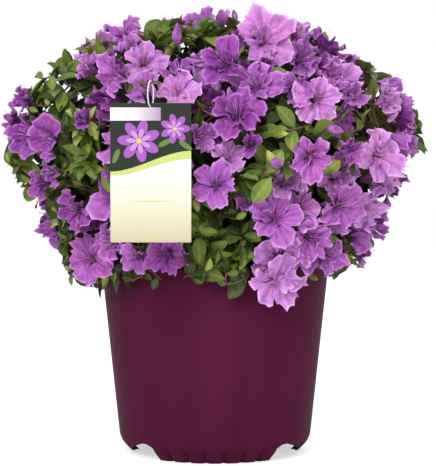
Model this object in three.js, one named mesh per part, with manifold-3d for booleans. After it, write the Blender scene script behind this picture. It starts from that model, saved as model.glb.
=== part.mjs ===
// A flowering azalea in a tapered nursery container, in millimetres, Z up, with its front towards -Y.
// The origin is the centre of the container's flat underside.
import * as THREE from "three";
import { mergeVertices } from "three/addons/utils/BufferGeometryUtils.js";
import Module from "manifold-3d";

const wasm = await Module();
wasm.setup();

// Clear gap kept wherever one piece meets another
const GAP = 0.3;

// Container: straight taper, rolled rim, and a slanted, fluted ring that it stands on. Under the raised floor the
// ring has four drainage notches, lower towards the sides, and the floor dips to the ground in the middle
const POT = {
  height: 241,
  foot: 103,
  ring: 3,
  well: 58,
  ceiling: 20,
  heelTop: 21,
  heelRadius: 119.3,
  taper: 0.105,
  wall: 2.2,
  floor: 3,
  rim: 3.4,
  rimDepth: 9,
  sides: 60,
  flute: 1.5,
  notch: { bearing: 55.5, height: 20, start: 80, foot: [-28, 50], top: [-28, -12] },
};

// Potting mix, and the stem that stands in it
const SOIL = { top: 226, edge: 222, sides: 30, level: 30 };
const TRUNK = { top: 300, flare: 16, base: 12, tip: 9, lean: [3, -2], sides: 12 };

// Outline of the crown: a dome over the widest height, drawn in below it
const CROWN = { widest: 370, radius: 262, dome: 177, taper: 0.0021, depth: 0.9, hem: 212, top: 554 };

// Masses of foliage and the boughs that carry them
const LOW = { count: 7, bearing: 10, radius: 158, height: 296, from: [246, 261], core: [90, 86, 44] };
const HIGH = { count: 5, bearing: 8, radius: 146, height: 434, from: [279, 291], core: [92, 84, 38] };
const TOP = { x: 12, height: 484, from: 300, core: [84, 84, 32] };
const BOUGH = { root: 4.4, tip: 3, sides: 6, steps: 4 };
const WOOD = { stem: 3, hub: 2.6, branch: 2.6, fork: 2.3, twig: 1, end: 1.3 };

// Shoots on the outline, and what they carry
const SHOOT = { count: 156, spread: 11, depth: 15, clear: 43, perFork: 4 };
const SHARE = { open: { bloom: 0.6, bud: 0.15 }, leafy: { bloom: 0, bud: 0.2 } };
const LEAF = { length: 45, width: 21, keel: 1.6, sunk: 0.4, root: 3 };
const COVER = { outward: -0.1, every: 2, upward: 0.35 };
const BLOOM = { span: 67, depth: 25, throat: 10, fits: [1, 0.88, 0.76] };
const BUD = { length: 27, radius: 5.5 };

// Hanging plant tag on its loop
const TAG = { x: -71, y: -237, bottom: 273.5, width: 90, height: 155, thick: 0.9, corner: 1, hole: 3.2 };
const LOOP = { wire: 0.7, swing: [3, 5], length: 30 };

// Blooms seen from the front: bearing, height, span, and the bearing and lift they face
const FRONT_BLOOMS = [
  [21, 508, 84, 8, 22],
  [40, 508, 56, 72, 30],
  [3, 473, 60, -18, 0],
  [-11, 450, 66, -12, 45],
  [-46, 474, 50, -72, 25],
  [-32, 461, 62, -42, -8],
  [-34, 499, 46, -30, 45],
  [-50, 387, 66, -52, -18],
  [-51, 348, 46, -60, -15],
  [-48, 304, 58, -42, -8],
  [-53, 246, 76, -26, 4],
  [-28, 249, 56, -18, -22],
  [0, 338, 60, -4, 6],
  [-3, 392, 50, 48, 0],
  [6, 420, 74, 0, 24],
  [23, 447, 52, 12, 12],
  [29, 434, 66, 22, 4],
  [40, 466, 56, 58, 22],
  [42, 443, 48, 30, 30],
  [58, 434, 60, 58, 12],
  [55, 370, 76, 42, -2],
  [25, 367, 62, 12, -12],
  [35, 374, 40, 22, 20],
  [40, 309, 64, 24, -10],
  [57, 303, 58, 58, -14],
  [18, 299, 70, 4, 8],
  [24, 243, 82, 10, -30],
  [43, 250, 62, 34, -20],
];

// Stretches of the front where leaves show instead of blooms: bearing, height, radius
const GREEN = [
  [-40, 362, 52],
  [-2, 268, 62],
  [17, 424, 24],
  [32, 402, 24],
  [10, 338, 26],
  [-14, 512, 34],
];

const CONTAINER = new THREE.MeshStandardMaterial({ color: 0x551a3c, roughness: 0.45, metalness: 0 });
const EARTH = new THREE.MeshStandardMaterial({ color: 0x2b2019, roughness: 1, metalness: 0 });
const BARK = new THREE.MeshStandardMaterial({ color: 0x6b5442, roughness: 0.9, metalness: 0 });
const PETALS = new THREE.MeshStandardMaterial({ color: 0xb96bc4, roughness: 0.7, metalness: 0 });
const CARD = new THREE.MeshStandardMaterial({ color: 0xf3efdc, roughness: 0.35, metalness: 0 });
const CORD = new THREE.MeshStandardMaterial({ color: 0xf2f2ee, roughness: 0.5, metalness: 0 });

const rad = THREE.MathUtils.degToRad;
const lerp = THREE.MathUtils.lerp;
const UP = new THREE.Vector3(0, 0, 1);

// A repeatable number from 0 to 1 for one choice about one item
function chance(item, choice) {
  let h = Math.imul(item * 31 + choice + 1, 0x9e3779b1);
  h = Math.imul(h ^ (h >>> 15), 0x85ebca6b);
  h = Math.imul(h ^ (h >>> 13), 0xc2b2ae35);
  return ((h ^ (h >>> 16)) >>> 0) / 4294967296;
}

// Level direction of a bearing, where 0 is the front and 90 the right-hand side
function heading(bearing) {
  return new THREE.Vector3(Math.sin(rad(bearing)), -Math.cos(rad(bearing)), 0);
}

// A geometry as a closed solid, without the faces that collapse at a pole
function solid(geometry) {
  const bare = geometry.clone();
  bare.deleteAttribute("normal");
  bare.deleteAttribute("uv");
  const merged = mergeVertices(bare, 1e-4);
  const corners = [];
  for (let i = 0; i < merged.index.count; i += 3) {
    const [a, b, c] = [0, 1, 2].map((k) => merged.index.getX(i + k));
    if (a !== b && b !== c && c !== a) corners.push(a, b, c);
  }
  return new wasm.Manifold(
    new wasm.Mesh({
      numProp: 3,
      vertProperties: new Float32Array(merged.attributes.position.array),
      triVerts: new Uint32Array(corners),
    }),
  );
}

// Whether every edge of a geometry lies between just two faces
function sound(geometry) {
  const merged = mergeVertices(geometry.clone().deleteAttribute("normal"), 1e-3);
  const uses = new Map();
  for (let i = 0; i < merged.index.count; i += 3) {
    const face = [0, 1, 2].map((k) => merged.index.getX(i + k));
    for (let k = 0; k < 3; k++) {
      const edge = [face[k], face[(k + 1) % 3]].sort((a, b) => a - b).join(" ");
      uses.set(edge, (uses.get(edge) ?? 0) + 1);
    }
  }
  return [...uses.values()].every((count) => count === 2);
}

// The outer skin of the largest body, without loose scraps and sealed hollows, or null if none is sound
function skin(body) {
  for (const tolerance of [0.1, 0.06, 0.03, 0.15, 0.01]) {
    const bodies = body.asOriginal().simplify(tolerance).decompose();
    bodies.sort((a, b) => b.volume() - a.volume());
    const mesh = bodies[0].getMesh();
    const geometry = new THREE.BufferGeometry();
    geometry.setAttribute("position", new THREE.BufferAttribute(new Float32Array(mesh.vertProperties), 3));
    geometry.setIndex(new THREE.BufferAttribute(new Uint32Array(mesh.triVerts), 1));
    geometry.computeVertexNormals();
    if (sound(geometry)) return geometry;
  }
  return null;
}

// Solids joined in one, with as many of the leaves as give a sound skin
function fuse(solids, leaves) {
  for (let spare = 0; spare < leaves.length; spare++) {
    const joined = skin(wasm.Manifold.union([...solids, ...leaves.slice(spare)]));
    if (joined) return joined;
  }
  throw new Error("the joined solids have no sound skin");
}

function named(name, geometry, material) {
  const mesh = new THREE.Mesh(geometry, material);
  mesh.name = name;
  return mesh;
}

// Moves every vertex of a geometry to the place that a rule gives it
function reshape(geometry, rule) {
  const position = geometry.attributes.position;
  const point = new THREE.Vector3();
  for (let i = 0; i < position.count; i++) {
    const moved = rule(point.fromBufferAttribute(position, i));
    position.setXYZ(i, moved.x, moved.y, moved.z);
  }
  geometry.computeVertexNormals();
  return geometry;
}

// A tapering limb along a curve, flat at both ends
function limb(curve, rootRadius, tipRadius, sides, steps) {
  const frames = curve.computeFrenetFrames(steps, false);
  const tube = new THREE.CylinderGeometry(1, 1, 1, sides, steps);
  return reshape(tube, (p) => {
    const step = Math.round((p.y + 0.5) * steps);
    const radius = lerp(rootRadius, tipRadius, step / steps);
    return curve
      .getPointAt(step / steps)
      .addScaledVector(frames.normals[step], p.z * radius)
      .addScaledVector(frames.binormals[step], p.x * radius);
  });
}

// A straight three-sided twig
function twig(from, to, rootRadius, tipRadius) {
  return solid(limb(new THREE.LineCurve3(from, to), rootRadius, tipRadius, 3, 1));
}

// Outer radius of the container at a height above its heel
function potRadius(z) {
  return POT.heelRadius + POT.taper * (z - POT.heelTop);
}

// Wall and floor of the container as one turned profile, with its ring fluted and notched
function container() {
  const { height, foot, ring: footRing, well, ceiling, heelTop, heelRadius, wall, floor } = POT;
  const { rim, rimDepth, sides, flute } = POT;
  const lip = potRadius(height);
  const profile = [
    [0, 0],
    [well, 0],
    [well + 2, ceiling],
    [heelRadius - footRing, ceiling],
    [heelRadius - 3.5 - footRing, heelTop - 8],
    [foot - footRing, 0],
    [foot, 0],
    [heelRadius - 3.5, heelTop - 8],
    [heelRadius, heelTop],
    [potRadius(height - rimDepth), height - rimDepth],
    [lip + rim, height - rimDepth + 2.5],
    [lip + rim - 0.6, height],
    [lip - wall, height],
    [potRadius(ceiling + wall) - wall, ceiling + wall],
    [well + 2 - wall, ceiling + wall],
    [well - wall, floor],
    [0, floor],
  ].map(([r, z]) => new THREE.Vector2(r, z));
  const shell = reshape(new THREE.LatheGeometry(profile, sides), (p) => {
    const radius = Math.hypot(p.x, p.z);
    const turn = Math.round((Math.atan2(p.x, p.z) / (2 * Math.PI)) * sides);
    const fluted = p.y < heelTop - 1 && radius > foot - 5 && Math.abs(turn) % 2 === 1;
    const drawn = fluted ? (radius - flute) / radius : 1;
    return new THREE.Vector3(p.z * drawn, p.x * drawn, p.y);
  });
  let body = solid(shell);
  for (const side of [-1, 1]) {
    for (const end of [-1, 1]) body = body.subtract(notchSpace(side, end));
  }
  return skin(body);
}

// Space of one notch, to the left or right and at the back or front, with its long slope towards the side
function notchSpace(side, end) {
  const { bearing, height, start, foot, top } = POT.notch;
  const outline = [
    [foot[0], -5],
    [foot[1], -5],
    [foot[1], 0],
    [top[1], height],
    [top[0], height],
  ].map(([across, z]) => new THREE.Vector2(side * end * across, z));
  const space = new THREE.ExtrudeGeometry(new THREE.Shape(outline), { depth: 60, bevelEnabled: false });
  space.rotateX(Math.PI / 2);
  space.translate(0, -start, 0);
  space.rotateZ(rad(side * (90 - end * (90 - bearing))));
  return solid(space);
}

// Space round the container that nothing may enter, a little larger all round
function containerSpace() {
  const top = potRadius(POT.height) + POT.rim + 2;
  const space = new THREE.CylinderGeometry(top, POT.heelRadius + 2, POT.height + 2, POT.sides);
  return space.rotateX(Math.PI / 2).translate(0, 0, POT.height / 2 + 1);
}

// Filling of the container, level round the stem and sinking to the wall
function pottingMix() {
  const { top, edge, sides, level } = SOIL;
  const inner = (z) => potRadius(z) - POT.wall - GAP;
  const shelf = POT.ceiling + POT.wall + GAP;
  const profile = [
    [0, POT.floor + GAP],
    [POT.well - POT.wall - GAP, POT.floor + GAP],
    [POT.well + 2 - POT.wall - GAP, shelf],
    [inner(shelf), shelf],
    [inner(edge), edge],
    [lerp(level, inner(edge), 0.6), lerp(top, edge, 0.4)],
    [level, top],
    [0, top],
  ].map(([r, z]) => new THREE.Vector2(r, z));
  const filling = reshape(new THREE.LatheGeometry(profile, sides), (p) => {
    const radius = Math.hypot(p.x, p.z);
    const turn = Math.round((Math.atan2(p.x, p.z) / (2 * Math.PI)) * sides);
    const uneven = p.y > edge && radius > level + 5 ? 2.4 * chance(turn + sides, 3) : 0;
    return new THREE.Vector3(p.z, p.x, p.y - uneven);
  });
  return skin(solid(filling));
}

// Middle and radius of the stem at a height; the foot of it flares on the mix
function trunkCentre(z) {
  const rise = (z - SOIL.top) / (TRUNK.top - SOIL.top);
  return new THREE.Vector3(TRUNK.lean[0] * rise, TRUNK.lean[1] * rise, z);
}

function trunkRadius(z) {
  const rise = (z - SOIL.top) / (TRUNK.top - SOIL.top);
  const flare = (TRUNK.flare - TRUNK.base) * Math.max(0, 1 - rise / 0.2) ** 2;
  return lerp(TRUNK.base, TRUNK.tip, rise) + flare;
}

function trunk() {
  const foot = SOIL.top + GAP;
  const stem = new THREE.CylinderGeometry(1, 1, 1, TRUNK.sides, 10);
  return reshape(stem, (p) => {
    const z = lerp(foot, TRUNK.top, p.y + 0.5);
    const radius = trunkRadius(z);
    return trunkCentre(z).add(new THREE.Vector3(p.z * radius, p.x * radius, 0));
  });
}

// Radius of the crown at a height, and the direction that faces out of it there
function crownRadius(z) {
  const above = z - CROWN.widest;
  if (above < 0) return CROWN.radius * (1 + CROWN.taper * above);
  return CROWN.radius * Math.sqrt(Math.max(0, 1 - (above / CROWN.dome) ** 2));
}

function crownPoint(bearing, z) {
  const side = heading(bearing).multiplyScalar(crownRadius(z));
  return new THREE.Vector3(side.x, side.y * CROWN.depth, z);
}

function crownOutward(bearing, z) {
  const above = z - CROWN.widest;
  const level = heading(bearing);
  if (above < 0) return level.setZ(-0.5 * Math.min(1, -above / 60)).normalize();
  const side = level.multiplyScalar(crownRadius(z) / CROWN.radius ** 2);
  return side.setZ(above / CROWN.dome ** 2).normalize();
}

// Heights that share the surface of the crown evenly between a number of shoots, from the top down
function evenHeights(count) {
  const step = 1;
  const top = CROWN.widest + CROWN.dome;
  const area = [0];
  for (let z = top; z > CROWN.hem; z -= step) {
    const slope = crownRadius(z - step) - crownRadius(z);
    area.push(area[area.length - 1] + Math.hypot(slope, step) * (crownRadius(z) + crownRadius(z - step)));
  }
  const total = area[area.length - 1];
  const heights = [];
  let row = 0;
  for (let i = 0; i < count; i++) {
    while (area[row + 1] < ((i + 0.5) / count) * total) row++;
    heights.push(top - row * step);
  }
  return heights;
}

function ring(name, { count, bearing, radius, height, from, core }) {
  return Array.from({ length: count }, (_, i) => {
    const turn = bearing + (360 / count) * i;
    const side = heading(turn).multiplyScalar(radius);
    return {
      name: `${name}_${i + 1}`,
      bearing: turn,
      centre: new THREE.Vector3(side.x, side.y * CROWN.depth, height + 6 * (i % 2)),
      from: from[i % 2],
      core,
    };
  });
}

// All masses, each with the walls that part its space from the others
function masses() {
  const all = [
    ...ring("low", LOW),
    ...ring("high", HIGH),
    { ...TOP, name: "top", bearing: 0, centre: new THREE.Vector3(TOP.x, 0, TOP.height) },
  ];
  for (const mass of all) {
    mass.walls = all
      .filter((other) => other !== mass)
      .map((other) => {
        const normal = other.centre.clone().sub(mass.centre).normalize();
        const middle = other.centre.clone().add(mass.centre).multiplyScalar(0.5);
        return new THREE.Plane().setFromNormalAndCoplanarPoint(normal, middle);
      });
  }
  return all;
}

// Curve of the bough that runs from the stem towards the middle of a mass
function boughCurve(mass) {
  const axis = trunkCentre(mass.from);
  if (mass.name === "top") {
    const foot = axis.clone().setZ(TRUNK.top + GAP);
    const tip = mass.centre.clone().lerp(foot, 0.42);
    return new THREE.QuadraticBezierCurve3(foot, foot.clone().setZ(lerp(foot.z, tip.z, 0.5)), tip);
  }
  const out = heading(mass.bearing);
  const offset = THREE.MathUtils.euclideanModulo(mass.bearing + 15, 30) - 15;
  const reaches = [-BOUGH.root, BOUGH.root].map(
    (rise) => trunkRadius(mass.from + rise) + trunkCentre(mass.from + rise).sub(axis).dot(out),
  );
  const clear = Math.max(...reaches) * Math.cos(rad(offset)) + GAP;
  const start = axis.clone().addScaledVector(out, clear);
  const tip = mass.centre.clone().lerp(start, 0.4);
  const bend = start.clone().addScaledVector(out, 0.45 * Math.hypot(tip.x - start.x, tip.y - start.y));
  return new THREE.QuadraticBezierCurve3(start, bend, tip);
}

// Largest amount by which a point runs over the limits of a mass, with the way back in
function overrun(point, mass) {
  let worst = { over: 0, back: null };
  const note = (over, back) => {
    if (over > worst.over) worst = { over, back };
  };
  note(point.z - CROWN.top, UP.clone().negate());
  for (const wall of mass.walls) note(wall.distanceToPoint(point) + 0.5, wall.normal.clone().negate());
  const radius = Math.hypot(point.x, point.y);
  const rim = potRadius(POT.height) + POT.rim + 2.5;
  if (point.z < POT.height + 4 && radius < rim) {
    note(rim - radius, new THREE.Vector3(point.x / radius, point.y / radius, 0));
  }
  const inTag = Math.abs(point.x - TAG.x) < TAG.width / 2 + 4 && Math.abs(point.z - 352) < 88;
  if (inTag) note(TAG.y + 8 - point.y, new THREE.Vector3(0, 1, 0));
  const inLoop = Math.abs(point.x - TAG.x) < 9 && Math.abs(point.z - 440) < 24;
  if (inLoop) note(TAG.y + 16 - point.y, new THREE.Vector3(0, 1, 0));
  return worst;
}

function fits(points, mass) {
  return points.every((point) => overrun(point, mass).over === 0);
}

// Shift that brings a set of points within the limits of a mass, or null when none near does
function settle(points, mass, limit) {
  const shift = new THREE.Vector3();
  for (let pass = 0; pass < 12; pass++) {
    let worst = { over: 0, back: null };
    for (const point of points) {
      const here = overrun(point.clone().add(shift), mass);
      if (here.over > worst.over) worst = here;
    }
    if (worst.over === 0) return shift;
    shift.addScaledVector(worst.back, worst.over + 0.05);
    if (shift.length() > limit) return null;
  }
  return null;
}

function corners(geometry) {
  const position = geometry.attributes.position;
  const corner = (_, i) => new THREE.Vector3().fromBufferAttribute(position, i);
  return Array.from({ length: position.count }, corner);
}

// Turns a geometry built along +Y so that it points one way with its face towards another, and moves it
function place(geometry, at, along, facing) {
  const side = along.clone().cross(facing).normalize();
  const face = side.clone().cross(along);
  const frame = new THREE.Matrix4().makeBasis(side, along, face).setPosition(at);
  return geometry.applyMatrix4(frame);
}

// A leaf along +Y: root, two sides, tip and a keel under its midrib
function leaf(length) {
  const half = (length * LEAF.width) / LEAF.length / 2;
  const fold = 0.05 * length;
  const middle = 0.47 * length;
  const points = [
    [0, -LEAF.sunk, 0],
    [-half, middle, fold],
    [half, middle, fold],
    [0, length, 0],
    [0, middle, fold - LEAF.keel],
  ];
  const blade = new THREE.BufferGeometry();
  blade.setAttribute("position", new THREE.Float32BufferAttribute(points.flat(), 3));
  blade.setIndex([0, 2, 1, 3, 1, 2, 0, 1, 4, 0, 4, 2, 3, 4, 1, 3, 2, 4]);
  return blade;
}

// A five-lobed funnel along +Y, its base at the origin
function bloom(span) {
  const size = span / BLOOM.span;
  const profile = [
    [0, 0],
    [BLOOM.span / 2, BLOOM.depth],
    [0, BLOOM.throat],
  ].map(([r, h]) => new THREE.Vector2(r * size, h * size));
  return reshape(new THREE.LatheGeometry(profile, 15), (p) => {
    const turn = Math.round((Math.atan2(p.x, p.z) / (2 * Math.PI)) * 15);
    const notch = Math.abs(turn) % 3 === 0;
    const spread = notch ? 0.7 : 1;
    const drop = notch && p.y > BLOOM.throat * size + 1 ? 4 * size : 0;
    return new THREE.Vector3(p.x * spread, p.y - drop, p.z * spread);
  });
}

// A closed, pointed bud along +Y
function bud(length) {
  const profile = [
    [0, 0],
    [BUD.radius, 0.42 * length],
    [0, length],
  ].map(([r, h]) => new THREE.Vector2(r, h));
  return new THREE.LatheGeometry(profile, 5);
}

// Every shoot of the crown: where its tip is, which way it faces and what it carries
function shoots() {
  const all = FRONT_BLOOMS.map(([bearing, z, span, turn, lift]) => {
    const face = heading(turn).multiplyScalar(Math.cos(rad(lift)));
    return { kind: "bloom", tip: crownPoint(bearing, z), face: face.setZ(Math.sin(rad(lift))), span };
  });
  const green = GREEN.map(([bearing, z, radius]) => ({ middle: crownPoint(bearing, z), radius }));
  evenHeights(SHOOT.count).forEach((height, i) => {
    const bearing = i * 137.508 + SHOOT.spread * (chance(i, 0) - 0.5);
    const z = Math.min(height + SHOOT.spread * (chance(i, 1) - 0.5), CROWN.widest + CROWN.dome - 1);
    const out = crownOutward(bearing, z);
    const tip = crownPoint(bearing, z).addScaledVector(out, -SHOOT.depth * chance(i, 2));
    const near = all.slice(0, FRONT_BLOOMS.length).some((other) => other.tip.distanceTo(tip) < SHOOT.clear);
    if (near) return;
    const side = out.clone().cross(UP).normalize();
    const face = out.clone().addScaledVector(side, 0.9 * (chance(i, 4) - 0.5));
    face.addScaledVector(UP, 0.7 * (chance(i, 5) - 0.35)).normalize();
    const leafy = green.some(({ middle, radius }) => middle.distanceTo(tip) < radius);
    const { bloom: blooms, bud: buds } = leafy ? SHARE.leafy : SHARE.open;
    const draw = chance(i, 6);
    const kind = draw < blooms ? "bloom" : draw < blooms + buds ? "bud" : "leaves";
    all.push({ kind, tip, face, span: BLOOM.span * (0.82 + 0.3 * chance(i, 7)) });
  });
  return all;
}

// The close inner foliage of a mass: an uneven lump round its middle that stays clear of the limbs, with each
// corner drawn in where its space ends
function core(mass, standing) {
  const out = crownOutward(mass.bearing, mass.centre.z);
  const across = heading(mass.bearing + 90);
  const rise = out.clone().cross(across);
  const [width, height, depth] = mass.core;
  for (let size = 1; size > 0.5; size -= 0.05) {
    const lump = reshape(new THREE.IcosahedronGeometry(size, 1), (p) => {
      const swell = 1 + 0.1 * Math.sin(7 * p.x + mass.bearing) * Math.cos(5 * p.y - 3 * p.z);
      const corner = mass.centre
        .clone()
        .addScaledVector(across, p.x * swell * width)
        .addScaledVector(rise, p.y * swell * height)
        .addScaledVector(out, p.z * swell * depth);
      corner.setZ(Math.max(corner.z, POT.height + 9));
      return corner.add(settle([corner], mass, CROWN.radius));
    });
    if (!meets(solid(lump), standing)) return lump;
  }
  throw new Error(`no room for the middle of ${mass.name}`);
}

// Leaves that stand on the outer faces of the lump: on every second one, and on each one that looks up
function covering(mass, lump, others) {
  const points = corners(lump);
  const out = crownOutward(mass.bearing, mass.centre.z);
  const leaves = [];
  for (let i = 0; i < points.length; i += 3) {
    const [a, b, c] = points.slice(i, i + 3);
    const normal = b.clone().sub(a).cross(c.clone().sub(a)).normalize();
    if (normal.dot(out) < COVER.outward) continue;
    if (normal.z < COVER.upward && (i / 3) % COVER.every) continue;
    const side = b.clone().sub(a).normalize();
    const root = a.clone().add(b).add(c).divideScalar(3).addScaledVector(normal, -LEAF.root);
    for (let attempt = 0; attempt < 6; attempt++) {
      const around = side.clone().applyAxisAngle(normal, 6.28 * chance(i, 51 + attempt));
      const tilt = 0.7 + 0.5 * chance(i, 61 + attempt);
      const way = normal.clone().multiplyScalar(Math.cos(tilt)).addScaledVector(around, Math.sin(tilt));
      const upper = normal.clone().addScaledVector(UP, 0.6).normalize();
      const blade = place(leaf(LEAF.length * (0.9 + 0.4 * chance(i, 71))), root, way, upper);
      if (!fits(corners(blade), mass)) continue;
      const body = solid(blade);
      if (meets(body, [...others, ...leaves])) continue;
      leaves.push(body);
      break;
    }
  }
  return leaves;
}

// Whether a solid runs into any of a list of others
function meets(body, others) {
  const box = body.boundingBox();
  return others.some((other) => {
    const near = other.boundingBox();
    const apart = [0, 1, 2].some((k) => near.min[k] > box.max[k] || near.max[k] < box.min[k]);
    return !apart && !body.intersect(other).isEmpty();
  });
}

// Leaves round the end of a twig that keep within the mass and clear of what is there
function whorl(from, to, shoot, mass, others) {
  const along = to.clone().sub(from).normalize();
  const side = along.clone().cross(Math.abs(along.z) > 0.9 ? new THREE.Vector3(1, 0, 0) : UP).normalize();
  const upper = shoot.face.clone().addScaledVector(UP, 0.5).normalize();
  const number = { bloom: 2, bud: 3, leaves: 4 }[shoot.kind];
  const spread = shoot.kind === "bloom" ? 1.25 : 0.9;
  const leaves = [];
  for (let k = 0; k < number; k++) {
    const length = LEAF.length * (0.8 + 0.35 * chance(shoot.seed, 20 + k));
    const root = to.clone().addScaledVector(along, -4 - 4 * k);
    for (let attempt = 0; attempt < 6; attempt++) {
      const turn = 2.4 * (k + 3 * attempt) + 6.28 * chance(shoot.seed, 19);
      const tilt = spread + 0.3 * chance(shoot.seed, 30 + k);
      const around = side.clone().applyAxisAngle(along, turn);
      const way = shoot.face.clone().multiplyScalar(Math.cos(tilt));
      way.addScaledVector(around, Math.sin(tilt)).normalize();
      const blade = place(leaf(length), root, way, upper);
      if (!fits(corners(blade), mass)) continue;
      const body = solid(blade);
      if (meets(body, [...others, ...leaves])) continue;
      leaves.push(body);
      break;
    }
  }
  return leaves;
}

// What a shoot carries, as large as keeps within the mass and clear of its neighbours, or else leaves
function load(shoot, mass, others) {
  const upright = Math.abs(shoot.face.z) > 0.9 ? new THREE.Vector3(0, 1, 0) : UP;
  const options = BLOOM.fits.map((size) => ({ kind: "bloom", span: shoot.span * size, limit: 45 }));
  const closed = { kind: "bud", span: 0, limit: 25 };
  const bare = { kind: "leaves", span: 0, limit: 40 };
  const choices = { bloom: [...options, bare], bud: [closed, bare], leaves: [bare] };
  for (const { kind, span, limit } of choices[shoot.kind]) {
    const depth = kind === "bloom" ? (BLOOM.depth * span) / BLOOM.span : BUD.length;
    const base = shoot.tip.clone().addScaledVector(shoot.face, -depth);
    const shape = place(kind === "bloom" ? bloom(span) : bud(BUD.length), base, shoot.face, upright);
    const shift = settle(corners(shape), mass, limit);
    if (!shift) continue;
    const body = solid(shape.translate(shift.x, shift.y, shift.z));
    const end = base.add(shift).addScaledVector(shoot.face, 2);
    if (!meets(body, others)) return { shoot: { ...shoot, kind }, body, end };
  }
  return null;
}

// The horizontal twig that the tag's loop hangs on
function hanger() {
  const z = TAG.bottom + TAG.height - 3 + LOOP.length - 5;
  return [new THREE.Vector3(TAG.x - 13, TAG.y, z), new THREE.Vector3(TAG.x + 11, TAG.y, z)];
}

// One mass: a stem from the end of its bough, branches and twigs that leave it one after another, and the
// leaves, buds and blooms fused to them
function foliage(mass, own, standing) {
  const curve = boughCurve(mass);
  const axis = curve.getTangentAt(1).normalize();
  const root = curve.getPointAt(1).addScaledVector(axis, GAP);
  const hub = mass.centre;
  const stem = new THREE.QuadraticBezierCurve3(root, root.clone().addScaledVector(axis, 12), hub);
  const wood = [solid(limb(stem, WOOD.stem, WOOD.hub, 4, 3))];
  const lump = core(mass, standing);
  const middle = solid(lump);
  const loads = [];
  for (const shoot of own) {
    const carried = load(shoot, mass, [...standing, ...loads.map(({ body }) => body)]);
    if (carried) loads.push(carried);
  }
  const flat = axis.clone().cross(UP);
  const side = flat.lengthSq() > 0.01 ? flat.normalize() : new THREE.Vector3(1, 0, 0);
  const lift = side.clone().cross(axis);
  const turn = ({ end }) => Math.atan2(end.clone().sub(hub).dot(lift), end.clone().sub(hub).dot(side));
  loads.sort((a, b) => turn(a) - turn(b));
  const forks = Math.max(1, Math.round(loads.length / SHOOT.perFork));
  const twigs = [];
  for (let k = 0; k < forks; k++) {
    const group = loads.filter((_, i) => Math.floor((i * forks) / loads.length) === k);
    const from = stem.getPointAt(lerp(0.55, 0.96, (k + 1) / forks));
    const fork = new THREE.Vector3();
    for (const { end } of group) fork.addScaledVector(end, 1 / group.length);
    fork.lerp(from, 0.4);
    while (meets(twig(from, fork, WOOD.branch, WOOD.fork), standing)) fork.lerp(from, 0.2);
    wood.push(twig(from, fork, WOOD.branch, WOOD.fork));
    group.forEach(({ shoot, end }, j) => {
      const start = from.clone().lerp(fork, lerp(0.4, 0.97, (j + 1) / group.length));
      const body = twig(start, end, WOOD.twig, WOOD.end);
      if (!meets(body, standing)) twigs.push({ shoot, start, end, body, load: group[j].body });
    });
  }
  const [left, right] = hanger();
  if (fits([left.clone().setY(TAG.y + 20)], mass)) {
    const elbow = left.clone().setY(TAG.y + 30);
    wood.push(twig(stem.getPointAt(0.5), elbow, WOOD.branch, 1.9));
    wood.push(twig(elbow, left, 1.7, 1.6), twig(left, right, 1.6, 1.5));
  }
  const shapes = twigs.filter(({ shoot }) => shoot.kind !== "leaves").map((each) => each.load);
  const leaves = [];
  for (const { shoot, start, end, body } of twigs) {
    const nearby = twigs.filter((other) => other.body !== body).map((other) => other.body);
    const others = [...shapes, ...wood, ...nearby];
    leaves.push(...whorl(start, end, shoot, mass, [middle, ...standing, ...others, ...leaves]));
  }
  const stems = [...wood, ...twigs.map(({ body }) => body)];
  leaves.push(...covering(mass, lump, [...standing, ...stems, ...shapes, ...leaves]));
  return fuse([middle, ...stems, ...shapes], leaves);
}

// Plain card with rounded corners and a hole for the loop
function tagCard() {
  const { x, y, bottom, width, height, thick, corner, hole } = TAG;
  const [w, h] = [width / 2, height];
  const shape = new THREE.Shape();
  shape.moveTo(-w + corner, 0);
  shape.lineTo(w - corner, 0);
  shape.absarc(w - corner, corner, corner, -Math.PI / 2, 0);
  shape.lineTo(w, h - corner);
  shape.absarc(w - corner, h - corner, corner, 0, Math.PI / 2);
  shape.lineTo(-w + corner, h);
  shape.absarc(-w + corner, h - corner, corner, Math.PI / 2, Math.PI);
  shape.lineTo(-w, corner);
  shape.absarc(-w + corner, corner, corner, Math.PI, 1.5 * Math.PI);
  shape.holes.push(new THREE.Path().absarc(0, h - 3 - hole, hole, 0, 2 * Math.PI, true));
  const card = new THREE.ExtrudeGeometry(shape, { depth: thick, bevelEnabled: false, curveSegments: 4 });
  card.rotateX(Math.PI / 2);
  card.translate(x, y + thick / 2, bottom);
  return skin(solid(card));
}

// Closed loop of cord through the hole of the card and over the twig above it
function tagLoop() {
  const bottom = TAG.bottom + TAG.height - 3.3 - GAP - LOOP.wire;
  const top = hanger()[0].z + 1.6 + GAP + LOOP.wire;
  const turns = 20;
  const points = Array.from({ length: turns }, (_, i) => {
    const angle = (2 * Math.PI * i) / turns;
    const z = lerp(bottom, top, 0.5 - 0.5 * Math.cos(angle));
    const out = Math.sin(angle);
    return new THREE.Vector3(TAG.x + LOOP.swing[0] * out, TAG.y + LOOP.swing[1] * out, z);
  });
  const path = new THREE.CatmullRomCurve3(points, true);
  return skin(solid(new THREE.TubeGeometry(path, 20, LOOP.wire, 4, true)));
}

const plant = new THREE.Group();
plant.name = "potted_azalea";
plant.add(named("pot", container(), CONTAINER));
plant.add(named("potting_mix", pottingMix(), EARTH));
plant.add(named("trunk", skin(solid(trunk())), BARK));

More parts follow.
